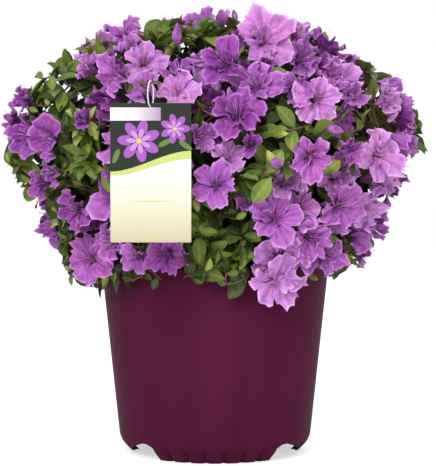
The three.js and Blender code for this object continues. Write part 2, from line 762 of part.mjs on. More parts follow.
const crown = masses();
const tips = shoots().map((shoot, seed) => ({ ...shoot, seed }));
const standing = [solid(containerSpace())];
for (const mass of crown) {
  const bough = solid(limb(boughCurve(mass), BOUGH.root, BOUGH.tip, BOUGH.sides, BOUGH.steps));
  plant.add(named(`bough_${mass.name}`, skin(bough), BARK));
  standing.push(bough);
}
for (const mass of crown) {
  const nearest = (tip) => crown.every((other) => mass.centre.distanceTo(tip) <= other.centre.distanceTo(tip));
  const own = tips.filter(({ tip }) => nearest(tip));
  plant.add(named(`mass_${mass.name}`, foliage(mass, own, standing), PETALS));
}
plant.add(named("tag_card", tagCard(), CARD));
plant.add(named("tag_loop", tagLoop(), CORD));

export default plant;
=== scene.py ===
"""A flowering azalea in a tapered nursery container, in metres, Z up, with its front towards -Y."""

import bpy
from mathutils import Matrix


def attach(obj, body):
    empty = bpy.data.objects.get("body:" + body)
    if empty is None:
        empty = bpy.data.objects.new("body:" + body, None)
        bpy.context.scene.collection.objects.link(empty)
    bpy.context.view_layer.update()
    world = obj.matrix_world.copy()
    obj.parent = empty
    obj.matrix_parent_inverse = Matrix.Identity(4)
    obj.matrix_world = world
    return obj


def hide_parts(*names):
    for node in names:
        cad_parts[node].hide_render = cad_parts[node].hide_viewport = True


bl_info = {
    "name": "Potted Azalea",
    "version": (1, 0, 0),
    "blender": (4, 5, 0),
    "location": "3D View > Sidebar > Azalea",
    "description": "Builds a flowering azalea in its nursery container",
    "category": "Add Mesh",
}

import functools
import math

import bpy
import numpy as np
from bpy.props import FloatProperty, FloatVectorProperty, IntProperty, PointerProperty
from bpy.types import Operator, Panel, PropertyGroup
from mathutils import Vector

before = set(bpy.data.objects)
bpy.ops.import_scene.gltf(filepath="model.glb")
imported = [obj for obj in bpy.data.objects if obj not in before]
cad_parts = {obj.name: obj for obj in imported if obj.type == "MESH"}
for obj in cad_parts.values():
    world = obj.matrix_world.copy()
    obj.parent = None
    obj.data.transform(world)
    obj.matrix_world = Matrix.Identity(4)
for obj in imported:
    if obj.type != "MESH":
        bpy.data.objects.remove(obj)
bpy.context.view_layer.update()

# The container, the mix in it and the stem, as the solids have them
GAP = 0.0003
POT = dict(
    height=0.241, foot=0.103, heel_top=0.021, heel_radius=0.1193, taper=0.105, wall=0.0022, floor=0.003
)
BASE = dict(ring=0.003, well=0.058, ceiling=0.020)
RIM = dict(width=0.0034, depth=0.009)
FLUTE = dict(count=30, depth=0.0050, top=0.0190)
NOTCH = dict(bearing=55.5, height=0.020, start=0.080, foot=(-0.028, 0.050), top=(-0.028, -0.012))
SOIL = dict(top=0.226, edge=0.222, level=0.030)
TRUNK = dict(top=0.300, flare=0.016, base=0.012, tip=0.009, lean=(0.003, -0.002))

# The crown, its masses and the limbs, as the solids have them
CROWN = dict(widest=0.370, radius=0.262, dome=0.177, taper=2.1, depth=0.9, hem=0.212, top=0.554)
LOW = dict(count=7, bearing=10, radius=0.158, height=0.296, start=(0.246, 0.261))
HIGH = dict(count=5, bearing=8, radius=0.146, height=0.434, start=(0.279, 0.291))
TOP = dict(x=0.012, height=0.484)
BOUGH = dict(root=0.0044, tip=0.003)
WOOD = dict(stem=0.003, hub=0.0026, branch=0.0026, fork=0.0023, twig=0.001, end=0.0013)
SHOOT = dict(count=156, turn=11, rise=0.011, inside=0.003, depth=0.015, clear=0.043, per_fork=4)
BLOOM = dict(span=0.067, depth=0.025, share=0.6, shut_share=0.15)
BUD = dict(length=0.027, radius=0.0055)
TAG = dict(x=-0.071, y=-0.237, bottom=0.2735, width=0.090, height=0.155, thick=0.0009, above_hole=0.003)
LOOP = dict(wire=0.0007, swing=(0.003, 0.005), length=0.030)

# Further leafy shoots inside the crown: how many, how deep they sit and how long a twig they may have
INNER = dict(count=1600, shallow=0.020, deep=0.120, reach=0.09, first_seed=2000)
# Those of them that hang at its lower edge: how many, between which heights and how deep
HEM = dict(count=230, low=0.216, high=0.262, depth=0.012)
# Further blooms beside a main one: how many, how often only one, how close, how large and how far turned
TRUSS = dict(
    most=2, tries=9, single=0.45, closest=0.29, span=0.067, tilt=0.80, inside=0.005, first_seed=5000
)
# The level twig that the tag hangs on: its ends to either side, and how far behind it the limb bends to it
HANGER = dict(ends=(-0.013, 0.011), behind=0.020, bend=0.030, radius=0.0016)

# Room kept free behind the tag and behind its loop: half width, middle height, half height and depth
CLEAR = dict(tag=(TAG["width"] / 2 + 0.004, 0.352, 0.088, 0.008), loop=(0.009, 0.440, 0.024, 0.016))

# Blooms seen from the front: bearing, height, span, the bearing and lift that they face, how open they are,
# and their tone from 0, light, to 2, deep. The deep tone, given mostly on the left of the crown and the
# light one mostly on its right, paints the shade on the left side as well as the blooms' own tones
FRONT_BLOOMS = [
    (21, 0.508, 0.084, 8, 22, 1.0, 0),
    (40, 0.508, 0.056, 72, 30, 0.8, 0),
    (3, 0.473, 0.060, -18, 0, 0.6, 2),
    (-11, 0.450, 0.066, -12, 45, 0.9, 0),
    (-46, 0.474, 0.050, -72, 25, 0.6, 1),
    (-32, 0.461, 0.062, -42, -8, 0.7, 1),
    (-34, 0.499, 0.046, -30, 45, 0.5, 1),
    (-50, 0.387, 0.066, -52, -18, 0.8, 2),
    (-51, 0.348, 0.046, -60, -15, 0.5, 2),
    (-48, 0.304, 0.058, -42, -8, 0.6, 2),
    (-53, 0.246, 0.076, -26, 4, 1.0, 1),
    (-28, 0.249, 0.056, -18, -22, 0.7, 1),
    (0, 0.338, 0.060, -4, 6, 1.0, 1),
    (-3, 0.392, 0.050, 48, 0, 0.6, 1),
    (6, 0.420, 0.074, 0, 24, 0.9, 2),
    (23, 0.447, 0.052, 12, 12, 0.6, 1),
    (29, 0.434, 0.066, 22, 4, 0.9, 0),
    (40, 0.466, 0.056, 58, 22, 0.8, 1),
    (42, 0.443, 0.048, 30, 30, 0.6, 1),
    (58, 0.434, 0.060, 58, 12, 0.9, 0),
    (49, 0.370, 0.076, 38, -2, 1.0, 0),
    (25, 0.367, 0.062, 12, -12, 0.8, 1),
    (35, 0.374, 0.042, 22, 20, 0.3, 1),
    (40, 0.309, 0.064, 24, -10, 0.9, 1),
    (57, 0.303, 0.058, 58, -14, 0.9, 0),
    (18, 0.299, 0.070, 4, 8, 0.9, 1),
    (24, 0.243, 0.082, 10, -30, 0.9, 0),
    (43, 0.250, 0.062, 34, -20, 0.8, 1),
    (24, 0.217, 0.076, 14, -36, 1.0, 0),
    (-17, 0.250, 0.062, -12, -30, 0.9, 2),
    (33, 0.272, 0.064, 24, -14, 0.9, 1),
    (-70, 0.436, 0.044, -60, 28, 0.3, 2),
    (-80, 0.412, 0.050, -74, 8, 0.5, 2),
    (-60, 0.334, 0.050, -58, -10, 0.5, 2),
    (8, 0.500, 0.034, 0, 20, 0.15, 2),
    (-36, 0.412, 0.036, -30, 10, 0.2, 2),
    (9, 0.383, 0.034, 4, 5, 0.2, 2),
    (16, 0.474, 0.030, 14, 10, 0.15, 2),
]

# Stretches of the front where leaves show instead of blooms: bearing, height, radius
GREEN = [
    (-40, 0.362, 0.052),
    (-2, 0.268, 0.062),
    (16, 0.424, 0.032),
    (34, 0.404, 0.034),
    (10, 0.338, 0.026),
    (-14, 0.512, 0.034),
    (-78, 0.340, 0.026),
    (-74, 0.436, 0.028),
    (50, 0.404, 0.022),
    (-60, 0.262, 0.034),
    (-31, 0.520, 0.026),
    (-54, 0.508, 0.024),
    (-2, 0.532, 0.022),
    (27, 0.330, 0.022),
    (-22, 0.276, 0.026),
    (-64, 0.468, 0.030),
    (60, 0.480, 0.022),
    (-43, 0.538, 0.024),
    (93, 0.407, 0.020),
]

# Sky that shows between the sprays of the front: x and height at the depth of the pot's axis, and radius
SKY = [
    (-0.190, 0.452, 0.007),
    (-0.168, 0.438, 0.005),
    (-0.208, 0.426, 0.005),
    (-0.222, 0.359, 0.004),
]

# Where the camera stands: how far before the pot's axis, and how high
EYE = dict(away=2.2, height=0.388)

MASSES = [f"mass_low_{i + 1}" for i in range(LOW["count"])]
MASSES += [f"mass_high_{i + 1}" for i in range(HIGH["count"])] + ["mass_top"]
UP = np.array([0.0, 0.0, 1.0])
BACKWARDS = np.array([0.0, 1.0, 0.0])
GOLDEN = 137.508


def srgb(red, green, blue):
    """The linear colour of three screen values from 0 to 255."""
    shares = [value / 255 for value in (red, green, blue)]
    return tuple(s / 12.92 if s <= 0.04045 else ((s + 0.055) / 1.055) ** 2.4 for s in shares)


def toned(colour, share, lift=0.0):
    """A colour made darker or paler by a share and a lift, up to full."""
    return tuple(min(1, share * c + lift) for c in colour)


def chance(item, choice):
    """A repeatable number from 0 to 1 for one choice about one item, by mixing the bits of both."""
    low = np.uint64(0xFFFFFFFF)
    h = (np.asarray(item).astype(np.int64) * 31 + choice + 1).astype(np.uint64) & low
    h = h * np.uint64(0x9E3779B1) & low
    h = (h ^ h >> np.uint64(15)) * np.uint64(0x85EBCA6B) & low
    h = (h ^ h >> np.uint64(13)) * np.uint64(0xC2B2AE35) & low
    return (h ^ h >> np.uint64(16)).astype(float) / 4294967296


def unit(vectors):
    """Vectors brought to length one."""
    return vectors / np.maximum(np.linalg.norm(vectors, axis=-1, keepdims=True), 1e-12)


def smooth(share):
    """An even rise from 0 to 1 with level ends: 3x^2 - 2x^3."""
    share = np.clip(share, 0, 1)
    return share * share * (3 - 2 * share)


def heading(bearing):
    """Level direction of a bearing in degrees, where 0 is the front and 90 the right-hand side."""
    turn = np.radians(bearing)
    return np.stack([np.sin(turn), -np.cos(turn), np.zeros_like(turn)], -1)


def turned(vectors, axes, angles):
    """Vectors turned about unit axes by angles in radians, by the rotation formula of Rodrigues."""
    cos, sin = np.cos(angles)[..., None], np.sin(angles)[..., None]
    along = (vectors * axes).sum(-1, keepdims=True) * axes
    return vectors * cos + np.cross(axes, vectors) * sin + along * (1 - cos)


def pot_radius(z):
    """Outer radius of the container at a height above its heel."""
    return POT["heel_radius"] + POT["taper"] * (z - POT["heel_top"])


def trunk_centre(z):
    """Middle of the stem at a height."""
    rise = (np.asarray(z, float) - SOIL["top"]) / (TRUNK["top"] - SOIL["top"])
    return np.stack([TRUNK["lean"][0] * rise, TRUNK["lean"][1] * rise, np.asarray(z, float)], -1)


def trunk_radius(z):
    """Radius of the stem at a height: an even taper and a flare over the lowest fifth."""
    rise = (np.asarray(z, float) - SOIL["top"]) / (TRUNK["top"] - SOIL["top"])
    flare = (TRUNK["flare"] - TRUNK["base"]) * np.maximum(0, 1 - rise / 0.2) ** 2
    return TRUNK["base"] + (TRUNK["tip"] - TRUNK["base"]) * rise + flare


def crown_radius(z):
    """Radius of the crown at a height: a dome over the widest height, drawn in evenly below it."""
    above = np.asarray(z, float) - CROWN["widest"]
    dome = np.sqrt(np.maximum(0, 1 - (above / CROWN["dome"]) ** 2))
    return CROWN["radius"] * np.where(above < 0, 1 + CROWN["taper"] * above, dome)


def crown_point(bearing, z):
    """Point on the outline of the crown."""
    side = heading(bearing) * crown_radius(z)[..., None]
    level = np.asarray(z, float) + 0 * side[..., 0]
    return np.stack([side[..., 0], side[..., 1] * CROWN["depth"], level], -1)


def crown_outward(bearing, z):
    """Direction that faces out of the crown."""
    above = np.asarray(z, float) - CROWN["widest"]
    level = heading(bearing)
    side = level * np.where(above < 0, 1, crown_radius(z) / CROWN["radius"] ** 2)[..., None]
    rise = np.where(above < 0, -0.5 * np.minimum(1, -above / 0.060), above / CROWN["dome"] ** 2)
    return unit(side + rise[..., None] * UP)


def beyond(points):
    """How far points lie outside the crown's outline, in metres."""
    above = points[..., 2] - CROWN["widest"]
    radius = np.hypot(points[..., 0], points[..., 1] / CROWN["depth"])
    dome = np.hypot(radius / CROWN["radius"], np.maximum(above, 0) / CROWN["dome"]) - 1
    return np.where(above < 0, radius - crown_radius(points[..., 2]), dome * CROWN["dome"])


def even_heights(count):
    """Heights that share the surface of the crown evenly between a number of shoots, from the top down."""
    step = 0.001
    top = CROWN["widest"] + CROWN["dome"]
    z = np.arange(top, CROWN["hem"], -step)
    upper, lower = crown_radius(z), crown_radius(z - step)
    area = np.cumsum(np.hypot(lower - upper, step) * (upper + lower))
    return top - step * np.searchsorted(area, (np.arange(count) + 0.5) / count * area[-1])


def ring(name, count, bearing, radius, height, start):
    """Masses evenly spaced round the crown."""
    made = []
    for i in range(count):
        turn = bearing + 360 / count * i
        side = heading(turn) * radius
        centre = np.array([side[0], side[1] * CROWN["depth"], height + 0.006 * (i % 2)])
        made.append(dict(name=f"{name}_{i + 1}", bearing=turn, centre=centre, start=start[i % 2]))
    return made


def bough_curve(mass):
    """Three control points of the bough that runs from the stem towards the middle of a mass."""
    if mass["name"] == "top":
        foot = trunk_centre(TRUNK["top"]) + UP * GAP
        tip = mass["centre"] + 0.42 * (foot - mass["centre"])
        return np.array([foot, [foot[0], foot[1], (foot[2] + tip[2]) / 2], tip])
    axis = trunk_centre(mass["start"])
    out = heading(mass["bearing"])
    offset = (mass["bearing"] + 15) % 30 - 15
    levels = mass["start"] + np.array([-BOUGH["root"], BOUGH["root"]])
    reach = trunk_radius(levels) + (trunk_centre(levels) - axis) @ out
    foot = axis + out * (reach.max() * math.cos(math.radians(offset)) + GAP)
    tip = mass["centre"] + 0.4 * (foot - mass["centre"])
    return np.array([foot, foot + out * 0.45 * math.hypot(*(tip - foot)[:2]), tip])


def bezier(curves, share):
    """Points on quadratic curves with control points (..., 3, 3): (1-t)^2 a + 2t(1-t) b + t^2 c."""
    share = np.asarray(share, float)[..., None]
    a, b, c = curves[..., 0, :], curves[..., 1, :], curves[..., 2, :]
    return (1 - share) ** 2 * a + 2 * share * (1 - share) * b + share**2 * c


def along(curve, share):
    """Point of a curve at a share of its length."""
    steps = np.linspace(0, 1, 65)
    points = bezier(curve, steps)
    run = np.r_[0, np.cumsum(np.linalg.norm(np.diff(points, axis=0), axis=1))]
    return bezier(curve, np.interp(share * run[-1], run, steps))


def overrun(points):
    """How far points run over the crown's top or into the rim, the tag or its loop, and the way back."""
    radius = np.hypot(points[:, 0], points[:, 1])
    rim = pot_radius(POT["height"]) + RIM["width"] + 0.0025
    level = np.stack([points[:, 0] / radius, points[:, 1] / radius, 0 * radius], 1)
    limits = [
        (points[:, 2] - CROWN["top"], -UP),
        (np.where(points[:, 2] < POT["height"] + 0.004, rim - radius, -1), level),
    ]
    for half, middle, reach, depth in CLEAR.values():
        near = (abs(points[:, 0] - TAG["x"]) < half) & (abs(points[:, 2] - middle) < reach)
        limits.append((np.where(near, TAG["y"] + depth - points[:, 1], -1), BACKWARDS))
    over = np.stack([amount for amount, _ in limits], 1)
    back = np.stack([np.broadcast_to(way, points.shape) for _, way in limits], 1)
    return over, back


def settle(points, limit):
    """Shift that brings a set of points within the limits, or None when none near does."""
    shift = np.zeros(3)
    for _ in range(12):
        over, back = overrun(points + shift)
        point, rule = np.unravel_index(over.argmax(), over.shape)
        if over[point, rule] <= 0:
            return shift
        shift = shift + back[point, rule] * (over[point, rule] + 0.00005)
        if np.linalg.norm(shift) > limit:
            return None
    return None


def in_sky(points, margin):
    """Whether points lie within a margin of the lines of sight from the front to the sky."""
    nearer = EYE["away"] / (EYE["away"] + points[..., 1])
    x = points[..., 0] * nearer
    z = EYE["height"] + (points[..., 2] - EYE["height"]) * nearer
    return np.any([np.hypot(x - at, z - height) < radius + margin for at, height, radius in SKY], 0)


def among_leaves(points, margin=0.0):
    """Whether points lie in a stretch of the front where leaves show, or within a margin of one."""
    bearing, z, radius = np.array(GREEN).T
    gap = points[..., None, :] - crown_point(bearing, z)
    return (np.linalg.norm(gap, axis=-1) < radius + margin).any(-1)


def shoots():
    """Every shoot of the crown: where its tip is, which way it faces and what it carries."""
    made = []
    for bearing, z, span, turn, lift, opening, tone in FRONT_BLOOMS:
        face = heading(turn) * math.cos(math.radians(lift)) + UP * math.sin(math.radians(lift))
        tip = crown_point(np.float64(bearing), z)
        made.append(dict(kind="bloom", tip=tip, face=face, span=span, opening=opening, tone=tone))
    front = np.array([shoot["tip"] for shoot in made])
    for i, height in enumerate(even_heights(SHOOT["count"])):
        bearing = i * GOLDEN + SHOOT["turn"] * (chance(i, 0) - 0.5)
        z = min(height + SHOOT["rise"] * (chance(i, 1) - 0.5), CROWN["widest"] + CROWN["dome"] - 0.001)
        out = crown_outward(bearing, z)
        tip = crown_point(bearing, z) - out * (SHOOT["inside"] + SHOOT["depth"] * chance(i, 2))
        if np.linalg.norm(front - tip, axis=1).min() < SHOOT["clear"]:
            continue
        face = out + 0.9 * (chance(i, 4) - 0.5) * unit(np.cross(out, UP)) + 0.7 * (chance(i, 5) - 0.35) * UP
        blooms, shut = (0, 0.2) if among_leaves(tip) else (BLOOM["share"], BLOOM["shut_share"])
        draw = chance(i, 6)
        kind = "bloom" if draw < blooms else "bud" if draw < blooms + shut else "leaves"
        span = BLOOM["span"] * (0.82 + 0.3 * chance(i, 7))
        opening = 0.45 + 0.55 * chance(i, 8)
        tone = int(3 * chance(i, 9))
        made.append(dict(kind=kind, tip=tip, face=unit(face), span=span, opening=opening, tone=tone))
    for seed, shoot in enumerate(made):
        shoot["seed"] = seed
    return made


def load(shoot, others):
    """What a shoot carries, kept off the rim and the tag, apart from the blooms already there and, where
    the shoot follows the rule, out of the sky."""
    if shoot["seed"] >= len(FRONT_BLOOMS) and in_sky(shoot["tip"], 0.3 * shoot["span"]):
        return None
    for size in (1, 0.88, 0.76):
        span = shoot["span"] * size
        if shoot["kind"] != "bloom":
            break
        depth = BLOOM["depth"] * span / BLOOM["span"]
        side = unit(np.cross(shoot["face"], UP + 0.001))
        lift = np.cross(side, shoot["face"])
        turn = np.arange(15) * math.tau / 15
        rim = shoot["tip"] + span / 2 * (np.outer(np.cos(turn), side) + np.outer(np.sin(turn), lift))
        shift = settle(np.r_[rim, [shoot["tip"] - shoot["face"] * depth]], 0.045)
        if shift is None:
            continue
        tip = shoot["tip"] + shift
        near = [np.linalg.norm(other["tip"] - tip) < 0.34 * (other["span"] + span) for other in others]
        if shoot["seed"] < len(FRONT_BLOOMS) or not any(near):
            return dict(shoot, tip=tip, span=span, base=tip - shoot["face"] * depth)
    kind = "bud" if shoot["kind"] == "bud" else "leaves"
    shift = settle(np.array([shoot["tip"], shoot["tip"] - shoot["face"] * BUD["length"]]), 0.040)
    if shift is None:
        return None
    tip = shoot["tip"] + shift
    return dict(shoot, kind=kind, tip=tip, span=0.02, base=tip - shoot["face"] * BUD["length"])


def hanger():
    """Ends of the level twig that the tag's loop hangs on."""
    z = TAG["bottom"] + TAG["height"] - TAG["above_hole"] + LOOP["length"] - 0.005
    return np.array([[TAG["x"] + end, TAG["y"], z] for end in HANGER["ends"]])


def trusses(loads, nearest):
    """The further blooms that share the end of a twig with a main one: each beside it, turned further
    outwards, with room to its neighbours and within the crown."""
    made = []
    for main in [each for each in loads if each["kind"] == "bloom"]:
        most = TRUSS["most"] - (chance(main["seed"], 12) < TRUSS["single"])
        added = 0
        for k in range(TRUSS["tries"]):
            if added == most:
                break
            bloom = beside(main, k)
            others = [each for each in loads + made if each["kind"] == "bloom"]
            if has_room(bloom, others):
                made.append(dict(bloom, mass=nearest(bloom["tip"])))
                added += 1
    return made


def beside(main, k):
    """A bloom tried beside a main one: turned round that one's face by a golden angle for each try, tilted
    away from it, and drawn back within the crown."""
    seed = TRUSS["first_seed"] + main["seed"] * 16 + k
    span = TRUSS["span"] * (0.72 + 0.42 * chance(seed, 1))
    side = unit(np.cross(main["face"], UP + 0.001))
    turn = GOLDEN / 57.3 * k + math.tau * chance(main["seed"], 11)
    around = turned(side, main["face"], np.asarray(turn))
    tilt = around * TRUSS["tilt"] * (0.5 + chance(seed, 2))
    face = unit(main["face"] + tilt + 0.25 * UP * (chance(seed, 3) - 0.5))
    shift = (0.30 + 0.12 * chance(seed, 4)) * (span + main["span"])
    tip = main["tip"] + around * shift - main["face"] * (0.010 * chance(seed, 5) + 0.12 * shift)
    too_far = max(0, float(beyond(tip)) + TRUSS["inside"] + 0.004)
    tip = tip + (main["face"] - crown_way(tip)) * too_far
    base = tip - face * (BLOOM["depth"] * span / BLOOM["span"])
    return dict(kind="bloom", tip=tip, face=face, way=face, span=span, base=base, seed=seed, around=around,
                foot=main["base"] - main["face"] * 0.006, opening=0.35 + 0.65 * chance(seed, 6),
                tone=int(3 * chance(seed, 7)))


def has_room(bloom, others):
    """Whether a further bloom is within the crown, clear of rim, tag, sky and leafy stretches, and apart
    from the other blooms."""
    tip, span = bloom["tip"], bloom["span"]
    edge = 0.4 * span * bloom["around"]
    if (overrun(np.array([tip, bloom["base"], tip + edge, tip - edge]))[0] > 0).any():
        return False
    if beyond(tip) > -TRUSS["inside"] or tip[2] < CROWN["hem"] + 0.030:
        return False
    if in_sky(tip, 0.4 * span) or among_leaves(tip, 0.008):
        return False
    near = [np.linalg.norm(each["tip"] - tip) < TRUSS["closest"] * (each["span"] + span) for each in others]
    return not any(near)


def crown_way(point):
    """Direction from the crown's middle to a point."""
    return unit(point - np.array([0, 0, CROWN["widest"]]))


@functools.lru_cache(maxsize=1)
def growth():
    """The whole plant above the stem: boughs, twigs as curves with two radii and a mass, and the loads and
    whorls on them."""
    masses = ring("low", **LOW) + ring("high", **HIGH)
    top = np.array([TOP["x"], 0, TOP["height"]])
    masses.append(dict(name="top", bearing=0, centre=top, start=TRUNK["top"]))
    centres = np.array([mass["centre"] for mass in masses])
    nearest = lambda point: int(np.linalg.norm(centres - point, axis=1).argmin())
    boughs = np.array([bough_curve(mass) for mass in masses])
    loads = []
    for shoot in shoots():
        carried = load(shoot, [other for other in loads if other["kind"] == "bloom"])
        if carried:
            loads.append(dict(carried, mass=nearest(shoot["tip"])))
    extra = trusses(loads, nearest)
    blooms = [each for each in loads + extra if each["kind"] == "bloom"]
    for each in loads:
        ends = np.array([each["base"], each["tip"]])
        low = ends[:, 2].min() < CROWN["hem"] + 0.028
        each["hidden"] = each["kind"] != "bloom" and (low or before_blooms(ends, blooms).any())
    twigs = []
    for index, (mass, bough) in enumerate(zip(masses, boughs)):
        own = [each for each in loads if each["mass"] == index]
        branch_out(index, mass, bough, own, twigs)
    for each in extra:
        twigs.append((bent(each["foot"], each["base"], 0.15, each["seed"]), 0.0013, 0.0014, each["mass"]))
    loads = [each for each in loads if not each["hidden"]] + extra
    hold_tag(nearest, twigs)
    main = [each for each in loads if each["seed"] < TRUSS["first_seed"]]
    keys = ("way", "face", "seed", "kind")
    whorls = [dict(root=each["base"], depth=0.0, **{key: each[key] for key in keys}) for each in main]
    inner_growth(centres, blooms, twigs, whorls)
    return dict(masses=masses, boughs=boughs, twigs=twigs, loads=loads, whorls=whorls)


def branch_out(index, mass, bough, own, twigs):
    """Adds the stem of a mass, the branches that fan out of it, each to a group of loads that lie side by
    side, and a twig from its branch to every load that shows."""
    axis = unit(bough[2] - bough[1])
    root = bough[2] + axis * GAP
    stem = np.array([root, root + axis * 0.012, mass["centre"]])
    twigs.append((stem, WOOD["stem"], WOOD["hub"], index))
    side = unit(np.cross(axis, UP + 0.001))
    lift = np.cross(side, axis)
    out = lambda each: each["base"] - mass["centre"]
    own = sorted(own, key=lambda each: math.atan2(out(each) @ lift, out(each) @ side))
    forks = max(1, round(len(own) / SHOOT["per_fork"]))
    for k in range(forks):
        group = [each for i, each in enumerate(own) if i * forks // len(own) == k]
        foot = along(stem, 0.55 + 0.41 * (k + 1) / forks)
        fork = np.mean([each["base"] for each in group], axis=0)
        fork = fork + 0.4 * (foot - fork)
        twigs.append((bent(foot, fork, 0.08, index * 16 + k), WOOD["branch"], WOOD["fork"], index))
        for j, each in enumerate(group):
            start = foot + (fork - foot) * (0.4 + 0.57 * (j + 1) / len(group))
            each["way"] = unit(each["base"] - start)
            if not each["hidden"]:
                curve = bent(start, each["base"], 0.1, each["seed"])
                twigs.append((curve, WOOD["twig"] * 1.6, WOOD["end"], index))


def hold_tag(nearest, twigs):
    """Adds the three lengths of twig that carry the tag: out of the nearest mass, forwards, and level."""
    left, right = hanger()
    holder = nearest(left + HANGER["behind"] * BACKWARDS)
    elbow = left + HANGER["bend"] * BACKWARDS
    stem = twigs[[mass for _, _, _, mass in twigs].index(holder)][0]
    twigs.append((bent(along(stem, 0.5), elbow, 0.05, 5), WOOD["branch"], 0.0019, holder))
    twigs.append((bent(elbow, left, 0.06, 7), 0.0017, HANGER["radius"], holder))
    twigs.append((np.array([left, (left + right) / 2, right]), HANGER["radius"], 0.0015, holder))


def bent(start, end, sag, seed):
    """A quadratic curve between two points, bowed to one side by a share of its length."""
    run = end - start
    side = unit(np.cross(run, UP + 0.01))
    bow = turned(side, unit(run), np.asarray(math.tau * chance(seed, 90)))
    return np.array([start, (start + end) / 2 + bow * sag * np.linalg.norm(run), end])


def before_blooms(points, blooms):
    """Whether points stand before an open bloom: nearer its axis than its petals' edge and above its
    funnel."""
    base = np.array([each["base"] for each in blooms])
    face = np.array([each["face"] for each in blooms])
    span = np.array([each["span"] for each in blooms])
    gap = points[:, None] - base[None]
    rise = (gap * face).sum(-1)
    wide = np.linalg.norm(gap - rise[..., None] * face, axis=-1)
    return ((wide < 0.46 * span) & (rise > 0.30 * wide) & (rise < 0.37 * span + 0.010)).any(1)


def hem_height(points):
    """Lowest height of the leaves at the crown's lower edge, which rises towards the right of the front."""
    right = smooth((points[..., 0] - 0.095) / 0.050) * (points[..., 1] < 0.05)
    left = smooth((-0.110 - points[..., 0]) / 0.030) * (points[..., 1] < 0.05)
    return CROWN["hem"] - 0.010 + 0.016 * right - 0.010 * left


def inner_growth(centres, blooms, twigs, whorls):
    """Adds finer twigs inside the crown's outline, each from the nearest wood of its own mass that lies
    further in. None ends before a bloom or in the sky."""
    number = np.arange(INNER["count"] + HEM["count"])
    hem = number >= INNER["count"]
    hem_heights = HEM["low"] + (HEM["high"] - HEM["low"]) * chance(number[hem], 99)
    heights = np.r_[even_heights(INNER["count"]), hem_heights] + 0.008 * (chance(number, 101) - 0.5)
    z = np.clip(heights, CROWN["hem"] + 0.002, CROWN["widest"] + CROWN["dome"] - 0.002)
    bearing = number * GOLDEN + 8 * (chance(number, 100) - 0.5)
    out = crown_outward(bearing, z)
    depth = INNER["shallow"] + (INNER["deep"] - INNER["shallow"]) * chance(number, 102) ** 1.5
    depth = np.where(hem, HEM["depth"] * chance(number, 102), depth)
    outline = crown_point(bearing, z)
    green = among_leaves(outline, 0.012)
    raised = np.where(green, 0.30 * depth - 0.006, depth)
    tips = outline - out * raised[:, None]
    owner = np.linalg.norm(tips[:, None] - centres[None], axis=2).argmin(1)
    blocked = before_blooms(tips, blooms) | before_blooms(tips - 0.012 * out, blooms)
    blocked |= (tips[:, 2] < hem_height(tips) + 0.018) | in_sky(tips, 0.001)
    wood = {m: [] for m in range(len(centres))}
    for curve, _, _, m in twigs:
        wood[m].append(bezier(curve, np.linspace(0.15, 1, 8)))
    wood = {m: np.concatenate(points) for m, points in wood.items()}
    # painted shade: how dark each whorl's leaves are toned, from its depth into the crown, less in the leafy
    # stretches of the front and more at the crown's lower edge; it is kept as the whorl's depth
    shade_depth = np.where(green, 0.42, 0.6) * depth + 0.4 * raised + hem * (0.010 + 0.060 * chance(number, 107))
    for i in np.argsort(-depth):
        if blocked[i]:
            continue
        near = wood[owner[i]]
        gap = tips[i] - near
        cost = np.linalg.norm(gap, axis=1) + 2 * np.maximum(0, -(gap @ out[i]))
        start = near[cost.argmin()]
        length = np.linalg.norm(tips[i] - start)
        if length > INNER["reach"] or length < 0.008 or (overrun(tips[i][None])[0] > 0).any():
            continue
        curve = bent(start, tips[i], 0.12, INNER["first_seed"] + i)
        twigs.append((curve, 0.0010 + 0.008 * length, 0.0008, int(owner[i])))
        wood[owner[i]] = np.r_[near, bezier(curve, np.array([0.4, 0.7]))]
        wild = unit(np.array([chance(i, 103) - 0.5, chance(i, 104) - 0.5, chance(i, 105) - 0.35]))
        face = unit(out[i] + 0.75 * wild)
        kind = "bud" if depth[i] < 0.03 and not hem[i] and chance(i, 106) < 0.3 else "leaves"
        way = unit(tips[i] - start)
        seed = INNER["first_seed"] + int(i)
        whorls.append(dict(root=tips[i], way=way, face=face, seed=seed, kind=kind, depth=float(shade_depth[i])))


def quads(copies, rows, columns, wrap=False, flip=False):
    """Four-sided faces of a number of like grids whose points follow one another. Wrap joins the last
    column to the first. Columns crossed with rows gives the side that the faces point to, unless
    flipped."""
    row = np.arange(rows - 1)[:, None] * columns
    column = np.arange(columns if wrap else columns - 1)[None]
    a, b = row + column, row + (column + 1) % columns
    faces = np.stack([a, b, b + columns, a + columns], -1).reshape(-1, 4)
    if flip:
        faces = faces[:, ::-1]
    return (faces[None] + np.arange(copies)[:, None, None] * rows * columns).reshape(-1, 4)


def caps(copies, rows, columns):
    """End faces that close a number of like tubes."""
    first = np.arange(columns)[::-1]
    last = (rows - 1) * columns + np.arange(columns)
    faces = np.stack([first, last])
    return (faces[None] + np.arange(copies)[:, None, None] * rows * columns).reshape(-1, columns)


